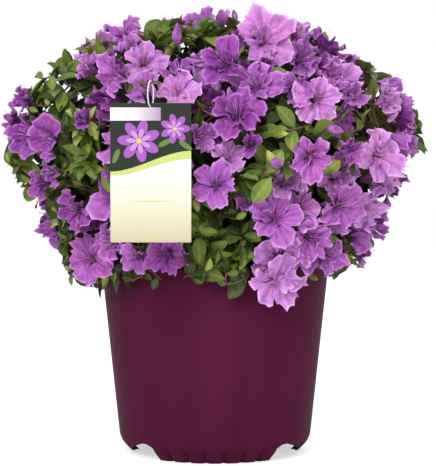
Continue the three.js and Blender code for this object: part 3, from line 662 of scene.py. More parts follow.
def add_piece(name, points, faces, material, slot, replaced=(), places=None, sharp=None):
    """One mesh object from points and face arrays, with smooth shading, its places as a UV map where given,
    and its finish, body and replaced nodes set."""
    mesh = bpy.data.meshes.new(name)
    points = np.asarray(points, np.float32).reshape(-1, 3)
    mesh.vertices.add(len(points))
    mesh.vertices.foreach_set("co", points.ravel())
    corners = np.concatenate([part.ravel() for part in faces]).astype(np.int32)
    sizes = np.concatenate([np.full(len(part), part.shape[1]) for part in faces])
    mesh.loops.add(len(corners))
    mesh.loops.foreach_set("vertex_index", corners)
    mesh.polygons.add(len(sizes))
    mesh.polygons.foreach_set("loop_start", (np.cumsum(sizes) - sizes).astype(np.int32))
    if places is not None:
        layer = mesh.uv_layers.new(name="Place")
        layer.uv.foreach_set("vector", np.asarray(places, np.float32).reshape(-1, 2)[corners].ravel())
    mesh.update(calc_edges=True)
    mesh.polygons.foreach_set("use_smooth", np.ones(len(sizes), bool))
    if sharp:
        mesh.set_sharp_from_angle(angle=math.radians(sharp))
    mesh.materials.append(material)
    piece = bpy.data.objects.new(name, mesh)
    bpy.context.scene.collection.objects.link(piece)
    if slot:
        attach(piece, "root")
    if replaced:
        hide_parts(*replaced)
    return piece


def tubes(paths, radii, sides):
    """Points of tubes along paths (n, steps, 3): at each step a ring round the path, centre + r cos(a) u +
    r sin(a) w, where u and w are square to it and keep clear of the tube's mean direction. Radii are (n,
    steps) or (n, steps, sides)."""
    ways = unit(np.gradient(paths, axis=1))
    mean = unit(paths[:, -1] - paths[:, 0])
    aside = np.where(abs(mean[:, 2:]) > 0.8, [[1.0, 0.0, 0.0]], [[0.0, 0.0, 1.0]])
    u = unit(np.cross(ways, aside[:, None]))
    w = np.cross(ways, u)
    turn = np.arange(sides) * math.tau / sides
    radii = radii[..., None] if radii.ndim == 2 else radii
    circle = np.cos(turn)[:, None] * u[:, :, None] + np.sin(turn)[:, None] * w[:, :, None]
    return paths[:, :, None] + circle * np.broadcast_to(radii, (*paths.shape[:2], sides))[..., None]


def tube_piece(name, paths, radii, sides, material, slot, replaced=()):
    """One piece made of closed tubes."""
    points = tubes(paths, radii, sides)
    copies, rows = points.shape[:2]
    faces = [quads(copies, rows, sides, wrap=True), caps(copies, rows, sides)]
    return add_piece(name, points, faces, material, slot, replaced)


def placed(points, at, along_way, facing):
    """Points built along +Y with their face towards +Z, turned to point along a direction and moved; one
    set of points (n, ..., 3) for each of n places."""
    side = unit(np.cross(along_way, facing))
    face = np.cross(side, along_way)
    basis = np.stack([side, along_way, face], 1)
    extra = (1,) * (points.ndim - 2)
    return np.einsum("n...i,nij->n...j", points, basis) + at.reshape(len(at), *extra, 3)


class Number:
    """A value socket of a material; Python arithmetic on it adds Math nodes."""

    def __init__(self, finish, socket):
        self.finish = finish
        self.socket = socket

    def worked(self, operation, first, second=0.0):
        """One Math node on two values."""
        return self.finish.node("ShaderNodeMath", {"operation": operation}, {0: first, 1: second})

    def __add__(self, other):
        return self.worked("ADD", self, other)

    def __sub__(self, other):
        return self.worked("SUBTRACT", self, other)

    def __rsub__(self, other):
        return self.worked("SUBTRACT", other, self)

    def __mul__(self, other):
        return self.worked("MULTIPLY", self, other)

    def __pow__(self, other):
        return self.worked("POWER", self, other)

    def __abs__(self):
        return self.worked("ABSOLUTE", self)

    def over(self, low, high):
        """How far the value is on its way from one limit to another, kept from 0 to 1."""
        limits = {"From Min": low, "From Max": high, "Value": self}
        return self.finish.node("ShaderNodeMapRange", {"clamp": True}, limits)

    __radd__ = __add__
    __rmul__ = __mul__


class Finish:
    """A material of one Principled shader, whose nodes are added by value."""

    def __init__(self, name, colour, roughness, **constants):
        self.material = bpy.data.materials.new(name)
        self.material.use_nodes = True
        self.tree = self.material.node_tree
        self.shader = self.tree.nodes["Principled BSDF"]
        self.set("Base Color", (*colour, 1) if isinstance(colour, tuple) else colour)
        self.set("Roughness", roughness)
        for key, value in constants.items():
            self.set(key.replace("_", " "), value)

    def node(self, kind, settings=None, inputs=None, out=0):
        """Adds a node of a type with its settings, and values or links for its sockets. Returns one
        output."""
        made = self.tree.nodes.new(kind)
        for key, value in (settings or {}).items():
            setattr(made, key, value)
        for key, value in (inputs or {}).items():
            self.feed(made.inputs[key], value)
        socket = made.outputs[out]
        return Number(self, socket) if socket.type == "VALUE" else socket

    def feed(self, socket, value):
        """Links a value to a socket, or sets it there."""
        if isinstance(value, Number):
            value = value.socket
        if isinstance(value, bpy.types.NodeSocket):
            self.tree.links.new(value, socket)
        else:
            socket.default_value = value

    def set(self, name, value):
        """Feeds a socket of the shader."""
        self.feed(self.shader.inputs[name], value)

    def dapple(self, pattern, low, high, dark, light):
        """Colours the surface from a dark to a light tone as a pattern rises between two limits."""
        self.set("Base Color", self.mix(pattern.over(low, high), dark, light))

    def place(self, stretch=(1, 1, 1)):
        """Object coordinates, stretched."""
        at = self.node("ShaderNodeTexCoord", out="Object")
        return self.node("ShaderNodeMapping", None, {"Vector": at, "Scale": stretch})

    def across(self):
        """The two shares of a piece's own map, across and along it."""
        at = self.node("ShaderNodeUVMap", {"uv_map": "Place"})
        parts = self.node("ShaderNodeSeparateXYZ", None, {0: at})
        node = parts.socket.node
        return Number(self, node.outputs[0]), Number(self, node.outputs[1])

    def noise(self, scale, detail=3.0, place=None):
        """Soft random values at a scale in cycles per metre."""
        inputs = {"Scale": scale, "Detail": detail, "Vector": place or self.place()}
        return self.node("ShaderNodeTexNoise", None, inputs)

    def mix(self, share, first, second):
        """A blend of two colours."""
        pick = lambda colour: (*colour, 1) if isinstance(colour, tuple) else colour
        inputs = {"Factor": share, 6: pick(first), 7: pick(second)}
        return self.node("ShaderNodeMix", {"data_type": "RGBA"}, inputs, out=2)

    def relief(self, height, distance, strength=1.0):
        """Feeds a bump of a height in metres."""
        inputs = {"Height": height, "Distance": distance, "Strength": strength}
        self.set("Normal", self.node("ShaderNodeBump", None, inputs))


def colour_setting(name, description, red, green, blue):
    """A setting for a colour, with its default in screen values."""
    default = srgb(red, green, blue)
    return FloatVectorProperty(name=name, description=description, subtype="COLOR", default=default, max=1)


def measure(name, description, default):
    """A setting for a length in metres."""
    return FloatProperty(name=name, description=description, default=default, unit="LENGTH")


def factor(name, description, default):
    """A setting for a share from 0 to 1."""
    return FloatProperty(name=name, description=description, default=default, subtype="FACTOR", min=0, max=1)


class ContainerSettings(PropertyGroup):
    """Sizes and colours of the container and its filling."""

    colour: colour_setting("Plastic", "Colour of the container", 85, 24, 57)
    roughness: factor("Roughness", "How dull the plastic is", 0.46)
    rim_round: measure("Rim rounding", "Radius of the rim's edges", 0.0012)
    mix_colour: colour_setting("Potting mix", "Colour of the mix", 48, 35, 27)
    chips: IntProperty(name="Bark chips", description="Loose chips on the mix", default=1500)
    chip: measure("Chip length", "Longest chip", 0.009)


class PlantSettings(PropertyGroup):
    """Sizes and colours of the plant."""

    bark: colour_setting("Bark", "Colour of the trunk and boughs", 107, 84, 66)
    ridge: factor("Bark ridges", "Share of a limb's radius", 0.07)
    leaf_length: measure("Leaf length", "Length of a full leaf", 0.036)
    leaf_width: FloatProperty(name="Leaf width", description="Width as a share of length", default=0.52)
    leaf_bright: colour_setting("Young leaf", "Colour", 170, 184, 84)
    leaf_light: colour_setting("Light leaf", "Colour", 120, 140, 54)
    leaf_mid: colour_setting("Middle leaf", "Colour", 100, 122, 44)
    leaf_dark: colour_setting("Old leaf", "Colour", 64, 82, 34)
    # painted shade: a darker, browner leaf colour for the leaves deep inside the crown, where shade falls
    leaf_inner_shade: colour_setting("Inner leaf", "Colour deep inside", 76, 68, 48)
    petal_light: colour_setting("Light petal", "Colour", 211, 144, 224)
    petal_mid: colour_setting("Middle petal", "Colour", 184, 105, 198)
    petal_deep: colour_setting("Deep petal", "Colour", 160, 72, 176)


class TagSettings(PropertyGroup):
    """Colours of the hanging tag."""

    card: colour_setting("Card", "Colour at the top", 252, 252, 240)
    card_foot: colour_setting("Card foot", "Colour at the bottom", 206, 194, 152)
    panel: colour_setting("Panel", "Colour of the printed panel", 22, 34, 18)
    band: colour_setting("Band", "Colour of the curved band", 203, 218, 120)
    film: measure("Print", "Thickness of a printed layer", 0.00012)


class StageSettings(PropertyGroup):
    """The camera, the lights and the floor."""

    distance: measure("Distance", "Camera to the plant", EYE["away"])
    height: measure("Height", "Camera above the floor", EYE["height"])
    aside: measure("Aside", "Camera to the right", 0.0037)
    pitch: FloatProperty(name="Pitch", description="Degrees that it looks down", default=3.03)
    lens: FloatProperty(name="Lens", description="Focal length in millimetres", default=136.4)
    key: FloatProperty(name="Key light", description="Power of the large lamp", default=43, unit="POWER")
    fill: FloatProperty(name="Fill light", description="Power of the side lamps", default=7, unit="POWER")
    sky: FloatProperty(name="Surroundings", description="Light from the white room", default=0.42)
    floor: colour_setting("Floor", "Colour of the floor", 250, 250, 250)
    glow: FloatProperty(name="Floor glow", description="How much brighter the floor looks", default=0.58)


def settings(group):
    """One group of this add-on's settings."""
    return getattr(bpy.context.scene, "azalea_" + group)


def plastic(colour, roughness):
    """Satin moulded plastic: broad soft streaks down the wall, a fine grain and slight scuffs."""
    finish = Finish("plum_plastic", colour, roughness, Specular_IOR_Level=0.04)
    streaks = finish.noise(26, 2, finish.place((1, 1, 0.12)))
    finish.dapple(streaks, 0.3, 0.75, toned(colour, 0.88), toned(colour, 1.1))
    scuffs = finish.noise(140, 4)
    finish.set("Roughness", scuffs.over(0.35, 0.7) * 0.10 + (roughness - 0.04))
    finish.relief(finish.noise(1400, 2) * 0.6 + streaks * 0.4, 0.00006)
    return finish.material


class AZALEA_OT_container(Operator):
    """Build the container: a turned wall with a rolled rim, a fluted heel and four drainage notches"""

    bl_idname = "azalea.container"
    bl_label = "Container"

    def execute(self, context):
        chosen = settings("container")
        wall = plastic(tuple(chosen.colour), chosen.roughness)
        piece = add_piece("container", *container_shape(chosen.rim_round), wall, "container", ["pot"])
        cut_notches(piece)
        piece.data.set_sharp_from_angle(angle=math.radians(38))
        return {"FINISHED"}


def container_profile(rounding):
    """Radius and height along the wall, from the middle of the underside out, up, over the rim and down
    inside. Each corner is rounded by a curve that starts at its own distance before it."""
    height, lip = POT["height"], pot_radius(POT["height"])
    under = height - RIM["depth"]
    heel, ring, well, ceiling = POT["heel_radius"], BASE["ring"], BASE["well"], BASE["ceiling"]
    slant, slant_top = heel - 0.0035, POT["heel_top"] - 0.008
    shelf = ceiling + POT["wall"]
    corners = [
        (0.0, 0.0, 0), (well, 0.0, 0.002), (well + 0.002, ceiling, 0.002), (heel - ring, ceiling, 0.002),
        (slant - ring, slant_top, 0.006), (POT["foot"] - ring, 0.0, 0.0008), (POT["foot"], 0.0, 0.0014),
        (slant, slant_top, 0.006), (heel, POT["heel_top"], 0.006), (pot_radius(under), under, 0.0008),
        (lip + RIM["width"], under + 0.0025, rounding), (lip + RIM["width"] - 0.0006, height, rounding),
        (lip - POT["wall"], height, rounding * 0.7), (pot_radius(shelf) - POT["wall"], shelf, 0.002),
        (well + 0.002 - POT["wall"], shelf, 0.002), (well - POT["wall"], POT["floor"], 0.002),
        (0.0, POT["floor"], 0),
    ]
    profile = []
    for index, (r, z, bend) in enumerate(corners):
        here = np.array([r, z])
        if not bend:
            profile.append(here)
            continue
        before, after = (np.array(corners[index + k][:2]) for k in (-1, 1))
        reach = min(bend, 0.45 * np.linalg.norm(before - here), 0.45 * np.linalg.norm(after - here))
        first, last = here + reach * unit(before - here), here + reach * unit(after - here)
        profile.extend(bezier(np.array([first, here, last]), np.linspace(0, 1, 6)))
    profile = np.array(profile)
    runs = []
    for first, last in zip(profile[:-1], profile[1:]):
        steps = max(1, int(np.linalg.norm(last - first) / 0.012))
        runs.append(first + (last - first) * np.linspace(0, 1, steps, endpoint=False)[:, None])
    return np.concatenate(runs + [profile[-1:]])


def container_shape(rounding):
    """The profile turned about the axis: x = r sin a, y = -r cos a. Round the ring r loses a flute's depth
    times ((1 - cos(n a)) / 2)^6, a narrow groove in each step, which fades out at the flutes' top."""
    columns = 480
    profile = container_profile(rounding)[1:-1]
    turn = np.arange(columns) * math.tau / columns
    outer = np.arange(len(profile)) < np.argmax(profile[:, 1])
    fade = smooth((FLUTE["top"] - profile[:, 1]) / 0.005) * (profile[:, 0] > POT["foot"] - 0.006) * outer
    scoop = FLUTE["depth"] * (0.5 * (1 - np.cos(FLUTE["count"] * turn))) ** 6
    radius = profile[:, :1] - fade[:, None] * scoop[None]
    points = np.stack([radius * np.sin(turn), -radius * np.cos(turn), profile[:, 1:] + 0 * radius], -1)
    return points, [quads(1, len(profile), columns, wrap=True), caps(1, len(profile), columns)]


def cut_notches(piece):
    """Cuts the four drainage notches through the ring, each with its long slope towards the side. The
    outline of the block that is cut away is rounded by a Catmull-Rom curve through its corners."""
    foot, top, height = NOTCH["foot"], NOTCH["top"], NOTCH["height"]
    arch = [
        (foot[0], -0.004), (foot[0], 0.002), (top[0] - 0.0005, height - 0.004), (top[0] + 0.003, height),
        (top[1], height - 0.0004), (0.5 * (top[1] + foot[1]), height * 0.52), (foot[1], 0.0),
        (foot[1] + 0.004, -0.004),
    ]
    arch = rounded_line(np.array(arch), 5)
    for corner, (side, end) in enumerate([(1, 1), (1, -1), (-1, 1), (-1, -1)]):
        bearing = side * (90.0 - end * (90 - NOTCH["bearing"]))
        out = heading(bearing)
        level = heading(bearing + 90) * side * end
        line = arch[:, :1] * level + arch[:, 1:] * UP
        points = np.concatenate([line + out * NOTCH["start"], line + out * (NOTCH["start"] + 0.060)])
        count = len(line)
        faces = [quads(1, 2, count, wrap=True, flip=side * end > 0)]
        ends = np.stack([np.arange(count), count + np.arange(count)[::-1]])
        faces.append(ends if side * end > 0 else ends[:, ::-1])
        block = add_piece(f"notch_block_{corner}", points, faces, piece.data.materials[0], None)
        trim = piece.modifiers.new("notch", "BOOLEAN")
        trim.object = block
        trim.operation = "DIFFERENCE"
        trim.solver = "EXACT"
        apply_modifiers(piece)
        bpy.data.objects.remove(block)


def rounded_line(corners, steps):
    """Points on a smooth curve through corners: Catmull-Rom pieces of a number of steps each."""
    padded = np.concatenate([corners[:1], corners, corners[-1:]])
    share = np.arange(steps)[:, None] / steps
    runs = []
    for a, b, c, d in zip(padded, padded[1:], padded[2:], padded[3:]):
        runs.append(0.5 * (2 * b + (c - a) * share + (2 * a - 5 * b + 4 * c - d) * share**2
                           + (3 * b - a - 3 * c + d) * share**3))
    return np.concatenate(runs + [corners[-1:]])


def apply_modifiers(piece):
    """Makes what a piece's modifiers give into its own mesh."""
    graph = bpy.context.evaluated_depsgraph_get()
    shaped = bpy.data.meshes.new_from_object(piece.evaluated_get(graph))
    piece.modifiers.clear()
    piece.data = shaped


def ripple(x, y, scale, seed):
    """A soft uneven height from -1 to 1: three crossed waves at angles drawn from a seed."""
    total = 0
    for k in range(3):
        turn = math.tau * chance(seed, k)
        length = scale * (0.7 + 0.8 * chance(seed, k + 3))
        across = x * np.cos(turn) + y * np.sin(turn)
        total = total + np.sin(math.tau * across / length + 9 * chance(seed, k + 6))
    return total / 3


class AZALEA_OT_filling(Operator):
    """Build the potting mix and the bark chips that lie on it"""

    bl_idname = "azalea.filling"
    bl_label = "Potting mix"

    def execute(self, context):
        chosen = settings("container")
        earth = Finish("potting_mix", (0, 0, 0), 0.95)
        grains = earth.noise(420, 4)
        earth.dapple(grains, 0.35, 0.7, toned(chosen.mix_colour, 0.45), toned(chosen.mix_colour, 1.8))
        earth.relief(grains, 0.0012)
        add_piece("filling", *filling_shape(), earth.material, "mix", ["potting_mix"])
        bark = Finish("bark_chip", (0, 0, 0), 0.85)
        bark.dapple(bark.noise(90, 2), 0.35, 0.65, srgb(60, 40, 28), srgb(128, 92, 62))
        bark.relief(bark.noise(900, 3), 0.0003)
        add_piece("bark_chips", *chip_shapes(chosen.chips, chosen.chip), bark.material, "mix", sharp=30)
        return {"FINISHED"}


def soil_height(radius):
    """Height of the mix: level round the stem and sinking evenly to the wall."""
    inner = pot_radius(SOIL["edge"]) - POT["wall"] - GAP
    share = np.clip((radius - SOIL["level"]) / (inner - SOIL["level"]), 0, 1)
    return SOIL["top"] + (SOIL["edge"] - SOIL["top"]) * share


def filling_shape():
    """A closed turned body: its top is the mix's height less up to 2 mm of ripples, its side follows the
    wall."""
    columns = 150
    turn = np.arange(columns) * math.tau / columns
    inner = lambda z: pot_radius(z) - POT["wall"] - GAP
    shelf = BASE["ceiling"] + POT["wall"] + GAP
    well = BASE["well"] - POT["wall"] - GAP
    side = [
        (well, POT["floor"] + GAP), (well + 0.002, shelf), (inner(shelf) - 0.0008, shelf),
        (inner(0.12), 0.12), (inner(0.219), 0.219),
    ]
    top = np.linspace(inner(SOIL["edge"]), 0.010, 36)
    radius = np.r_[[r for r, _ in side], top][:, None] + 0 * turn
    level = np.r_[[z for _, z in side], soil_height(top)][:, None] + 0 * turn
    x, y = radius * np.sin(turn), -radius * np.cos(turn)
    rough = 0.5 * ripple(x, y, 0.030, 11) + 0.3 * ripple(x, y, 0.011, 12) + 0.2 * ripple(x, y, 0.005, 13)
    on_top = (np.arange(len(radius)) >= len(side))[:, None]
    level = level - on_top * (0.0011 + 0.0011 * rough)
    points = np.stack([x, y, level], -1)
    return points, [quads(1, len(radius), columns, wrap=True), caps(1, len(radius), columns)]


def chip_shapes(count, longest):
    """Loose chips on the mix: six-faced blocks with uneven corners, each turned and tilted by chance."""
    number = np.arange(count)
    radius = np.sqrt(chance(number, 1)) * (pot_radius(SOIL["edge"]) - 0.008)
    keep = radius > TRUNK["flare"] + 0.004
    number, radius = number[keep], radius[keep]
    turn = math.tau * chance(number, 2)
    long, wide = 0.35 + 0.65 * chance(number, 3), 0.2 + 0.3 * chance(number, 4)
    size = longest * np.stack([long, wide, 0.10 + 0.1 * chance(number, 5)], 1)
    signs = np.array([[x, y, z] for z in (-1, 1) for y in (-1, 1) for x in (-1, 1)], float)
    corner = number[:, None] * 8 + np.arange(8)
    uneven = np.stack([0.75 + 0.25 * chance(corner, 20 + k) for k in range(3)], -1)
    local = signs[None] * uneven * size[:, None] / 2
    tilt = 0.35 * np.stack([chance(number, 6) - 0.5, chance(number, 7) - 0.5, 0 * radius], 1)
    facing = unit(UP + tilt)
    way = unit(np.cross(facing, heading(360 * chance(number, 8))))
    at = np.stack([radius * np.sin(turn), -radius * np.cos(turn), soil_height(radius) - 0.0005], 1)
    points = placed(local, at, way, facing)
    points[..., 2] = np.minimum(points[..., 2], SOIL["top"] + 0.004)
    cube = np.array([[0, 2, 3, 1], [4, 5, 7, 6], [0, 1, 5, 4], [2, 6, 7, 3], [0, 4, 6, 2], [1, 3, 7, 5]])
    return points, [(cube[None] + 8 * np.arange(len(number))[:, None, None]).reshape(-1, 4)]


class AZALEA_OT_wood(Operator):
    """Build the trunk and the boughs with the relief of their bark"""

    bl_idname = "azalea.wood"
    bl_label = "Trunk and boughs"

    def execute(self, context):
        chosen = settings("plant")
        bark = bark_finish("bark", tuple(chosen.bark))
        z = np.linspace(SOIL["top"] + GAP, TRUNK["top"], 50)
        radii = barked(trunk_radius(z)[None], z[None], 36, chosen.ridge)
        tube_piece("trunk_bark", trunk_centre(z)[None], radii, 36, bark, "bark", ["trunk"])
        share = np.linspace(0, 1, 30)
        paths = np.array([bezier(curve, share) for curve in growth()["boughs"]])
        run = np.linalg.norm(paths - paths[:, :1], axis=2)
        taper = BOUGH["root"] + (BOUGH["tip"] - BOUGH["root"]) * share
        radii = barked(taper[None] + 0 * run, run + np.arange(len(run))[:, None], 16, chosen.ridge)
        boughs = ["bough_" + mass["name"] for mass in growth()["masses"]]
        tube_piece("bough_bark", paths, radii, 16, bark, "bark", boughs)
        return {"FINISHED"}


def barked(radius, run, sides, ridge):
    """Radii of a limb with long uneven ridges: r (1 - d + d w / 2), with w a sum of three waves round the
    limb whose crests wander with the run along it."""
    turn = np.arange(sides) * math.tau / sides
    s = run[..., None]
    waves = np.sin(5 * turn + 2.2 * np.sin(60 * s)) + 0.6 * np.sin(9 * turn - 90 * s)
    waves = waves + 0.5 * np.sin(3 * turn + 230 * s)
    return radius[..., None] * (1 - ridge + ridge * 0.5 * waves)


def bark_finish(name, colour):
    """Thin bark: long streaks of light and dark with fine cracks."""
    finish = Finish(name, colour, 0.88)
    streaks = finish.noise(160, 4, finish.place((1, 1, 0.3)))
    finish.dapple(streaks, 0.32, 0.68, toned(colour, 0.5), toned(colour, 1.5))
    finish.relief(streaks + finish.noise(900, 2) * 0.4, 0.0005)
    return finish.material


class AZALEA_OT_twigs(Operator):
    """Build the stems, branches and twigs inside the masses"""

    bl_idname = "azalea.twigs"
    bl_label = "Twigs"

    def execute(self, context):
        twigs = growth()["twigs"]
        share = np.linspace(0, 1, 6)
        paths = np.array([bezier(curve, share) for curve, _, _, _ in twigs])
        ends = np.array([[root, tip] for _, root, tip, _ in twigs])
        radii = ends[:, :1] + (ends[:, 1:] - ends[:, :1]) * share
        finish = Finish("green_bark", (0, 0, 0), 0.7)
        finish.dapple(finish.noise(60, 3), 0.35, 0.65, srgb(98, 74, 56), srgb(116, 104, 66))
        finish.relief(finish.noise(700, 3), 0.0002)
        tube_piece("twigs", paths, radii, 6, finish.material, "bark", MASSES)
        return {"FINISHED"}


# Rows along a leaf and columns across it, for the leaves that show and for those deep inside
LEAF_GRID = dict(fine=(np.array([0, 0.08, 0.2, 0.38, 0.57, 0.75, 0.9, 1.0]), 5),
                 coarse=(np.array([0, 0.25, 0.6, 0.85, 1.0]), 3))
LEAVES_ON = {"bloom": 5, "bud": 5, "leaves": 6}


def leaf_places():
    """Root, direction, upper side, length, tone and number of every leaf, as arrays: whorls round the ends
    of the twigs, without the leaves that would stand before a bloom, in the rim, the tag or the sky."""
    whorls = growth()["whorls"]
    root = np.array([w["root"] for w in whorls])
    way = np.array([w["way"] for w in whorls])
    face = np.array([w["face"] for w in whorls])
    seed = np.array([w["seed"] for w in whorls])
    depth = np.array([w["depth"] for w in whorls])
    number = np.array([LEAVES_ON[w["kind"]] for w in whorls])
    spread = np.array([1.25 if w["kind"] == "bloom" else 0.95 for w in whorls])
    side = unit(np.cross(way, np.where(abs(way[:, 2:]) > 0.9, [[1.0, 0.0, 0.0]], [[0.0, 0.0, 1.0]])))
    gathered = []
    for k in range(max(LEAVES_ON.values())):
        here = number > k
        turn = 2.4 * k + 6.28 * chance(seed, 19)
        tilt = spread + 0.35 * (chance(seed, 30 + k) - 0.3)
        around = turned(side, way, turn)
        goes = unit(face * np.cos(tilt)[:, None] + around * np.sin(tilt)[:, None])
        young = 1 - 0.45 * (k >= 4)
        length = (0.70 + 0.42 * chance(seed, 20 + k)) * young
        upper = unit(face + 0.5 * UP + 0.3 * (around * (chance(seed, 40 + k) - 0.5)[:, None]))
        start = root - way * (0.002 + 0.0035 * (5 - k))
        tone = shade(seed, depth, k)
        gathered.append([a[here] for a in (start, goes, upper, length, tone, seed * 8 + k)])
    start, goes, upper, length, tone, item = (np.concatenate(parts) for parts in zip(*gathered))
    keep = leaf_room(start, goes, length * settings("plant").leaf_length)
    return start[keep], goes[keep], upper[keep], length[keep], tone[keep], item[keep]


def shade(seed, depth, k):
    """Tone of a leaf from 0, young, to 3, old, and 4 deep inside: the leaves of a whorl differ a little.
    Deeper in the crown the tone is darker, partly for the older leaves there and partly as painted shade;
    tone 4 is painted shade.
    """
    mood = chance(seed, 50) * 2.2 + 3.2 * smooth(depth / 0.09) - 0.30 * (k >= 4)
    mood = mood + 0.5 * (chance(seed, 60 + k) - 0.5)
    # painted shade: every leaf deeper than 72 mm takes the dark inner tone
    return np.where(depth > 0.072, 4, np.clip(np.floor(mood + 0.45), 0, 3)).astype(int)


def leaf_room(start, goes, length):
    """Whether leaves keep to the crown, out of the rim, the tag and the sky, and don't stand before an open
    bloom."""
    keep = np.ones(len(start), bool)
    blooms = [each for each in growth()["loads"] if each["kind"] == "bloom"]
    for share in (0.3, 0.6, 1.0):
        point = start + goes * (length * share)[:, None]
        keep &= ~(overrun(point)[0] > 0).any(1)
        keep &= ~before_blooms(point, blooms)
        keep &= (beyond(point) < 0.006) & (point[:, 2] > hem_height(point)) & ~in_sky(point, 0.003)
    return keep


def leaf_shapes(length, item, width, grid):
    """Leaves along +Y: across u from -1 to 1 and along t. x = u w(t) with w an oval that narrows to its
    stalk. z rises with |u| from the midrib, waves along the edge and droops with t squared."""
    rows, columns = grid
    t = rows[None, :, None]
    u = np.linspace(-1, 1, columns)[None, None]
    size = length[:, None, None]
    draw = [chance(item, 70 + k)[:, None, None] for k in range(5)]
    oval = 0.5 * width * np.sin(np.pi * rows**1.06).clip(0) ** 0.8 * smooth((rows + 0.1) / 0.28)
    oval = np.maximum(0.02, oval)[None, :, None] * np.where(rows == 1, 0.1, 1)[None, :, None]
    half = size * oval * (0.85 + 0.3 * draw[0])
    droop = (0.30 * draw[1] - 0.06) * t**2
    wave = 0.022 * np.sin(math.tau * (1.2 * t + draw[2]) + 0.8 * u) * abs(u) * np.sin(np.pi * t)
    x = u * half
    y = size * t * (1 - 0.25 * droop)
    z = abs(u) ** 1.4 * half * (0.25 + 0.4 * draw[3]) + size * (wave - droop)
    sway = 0.12 * (draw[4] - 0.5) * t**2 * size
    return np.stack(np.broadcast_arrays(x + sway, y, z), -1)


def leaf_finish(name, colour, gloss):
    """A leaf: paler midrib, faint side veins and slow changes of colour, with a soft gloss."""
    finish = Finish(name, colour, gloss, Specular_IOR_Level=0.45)
    across, way = finish.across()
    off = abs(across - 0.5) * 2
    rib = 1 - off.over(0.0, 0.34)
    tint = finish.noise(34, 2)
    dark, pale = toned(colour, 0.72), toned(colour, 1.22)
    body = finish.mix(tint.over(0.35, 0.65), dark, pale)
    rib_colour = toned(colour, 1.7, 0.02)
    body = finish.mix(rib * 0.55, body, rib_colour)
    veins = finish.node("ShaderNodeMath", {"operation": "SINE"}, {0: (way * 9 - off * 1.1) * math.tau})
    finish.set("Base Color", finish.mix(veins.over(0.2, 1.0) * 0.16, body, pale))
    finish.set("Roughness", tint.over(0.3, 0.7) * 0.14 + gloss)
    finish.relief(veins * 0.4 - rib, 0.0004, 0.6)
    return finish.material


class AZALEA_OT_leaves(Operator):
    """Build every leaf, in one piece for each tone"""

    bl_idname = "azalea.leaves"
    bl_label = "Leaves"

    def execute(self, context):
        chosen = settings("plant")
        start, goes, upper, length, tone, item = leaf_places()
        # the inner tone paints the shade on the leaves deep inside the crown
        tones = [("young", chosen.leaf_bright, "fine"), ("light", chosen.leaf_light, "fine"),
                 ("middle", chosen.leaf_mid, "fine"), ("old", chosen.leaf_dark, "fine"),
                 ("inner", chosen.leaf_inner_shade, "coarse")]
        for k, (name, colour, grid) in enumerate(tones):
            own = tone == k
            size = length[own] * chosen.leaf_length
            shapes = leaf_shapes(size, item[own], chosen.leaf_width, LEAF_GRID[grid])
            points = placed(shapes, start[own], goes[own], upper[own])
            finish = leaf_finish(f"leaf_{name}", tuple(colour), 0.38)
            add_piece(f"leaves_{name}", points, *leaf_faces(own.sum(), LEAF_GRID[grid], finish, "leaf"))
        return {"FINISHED"}


def leaf_faces(count, grid, finish, slot):
    """What add_piece takes for a number of leaves on a grid: faces, finish, slot, replaced masses,
    places."""
    rows, columns = grid
    t, u = np.meshgrid(rows, np.linspace(0, 1, columns), indexing="ij")
    places = np.broadcast_to(np.stack([u, t], -1), (count, *t.shape, 2))
    return [quads(count, len(rows), columns)], finish, slot, MASSES, places


# Rows and columns of the grids of an outer and an inner petal
PETAL = dict(outer=(11, 25), inner=(8, 15))
# How strongly a petal is shaped, as shares of its own size
FORM = dict(dent=0.09, wave=0.095, curl=0.070, crumple=0.029, ruffle=0.076, lap=0.030)


def petal_grid(rows, columns):
    """Places along a petal from 0 to 1 and across it from -1 to 1. The columns lie closer together at its
    sides."""
    even = np.linspace(-1, 1, columns)
    return np.linspace(0, 1, rows) ** 0.92, 0.4 * even + 0.6 * np.sin(even * math.pi / 2)


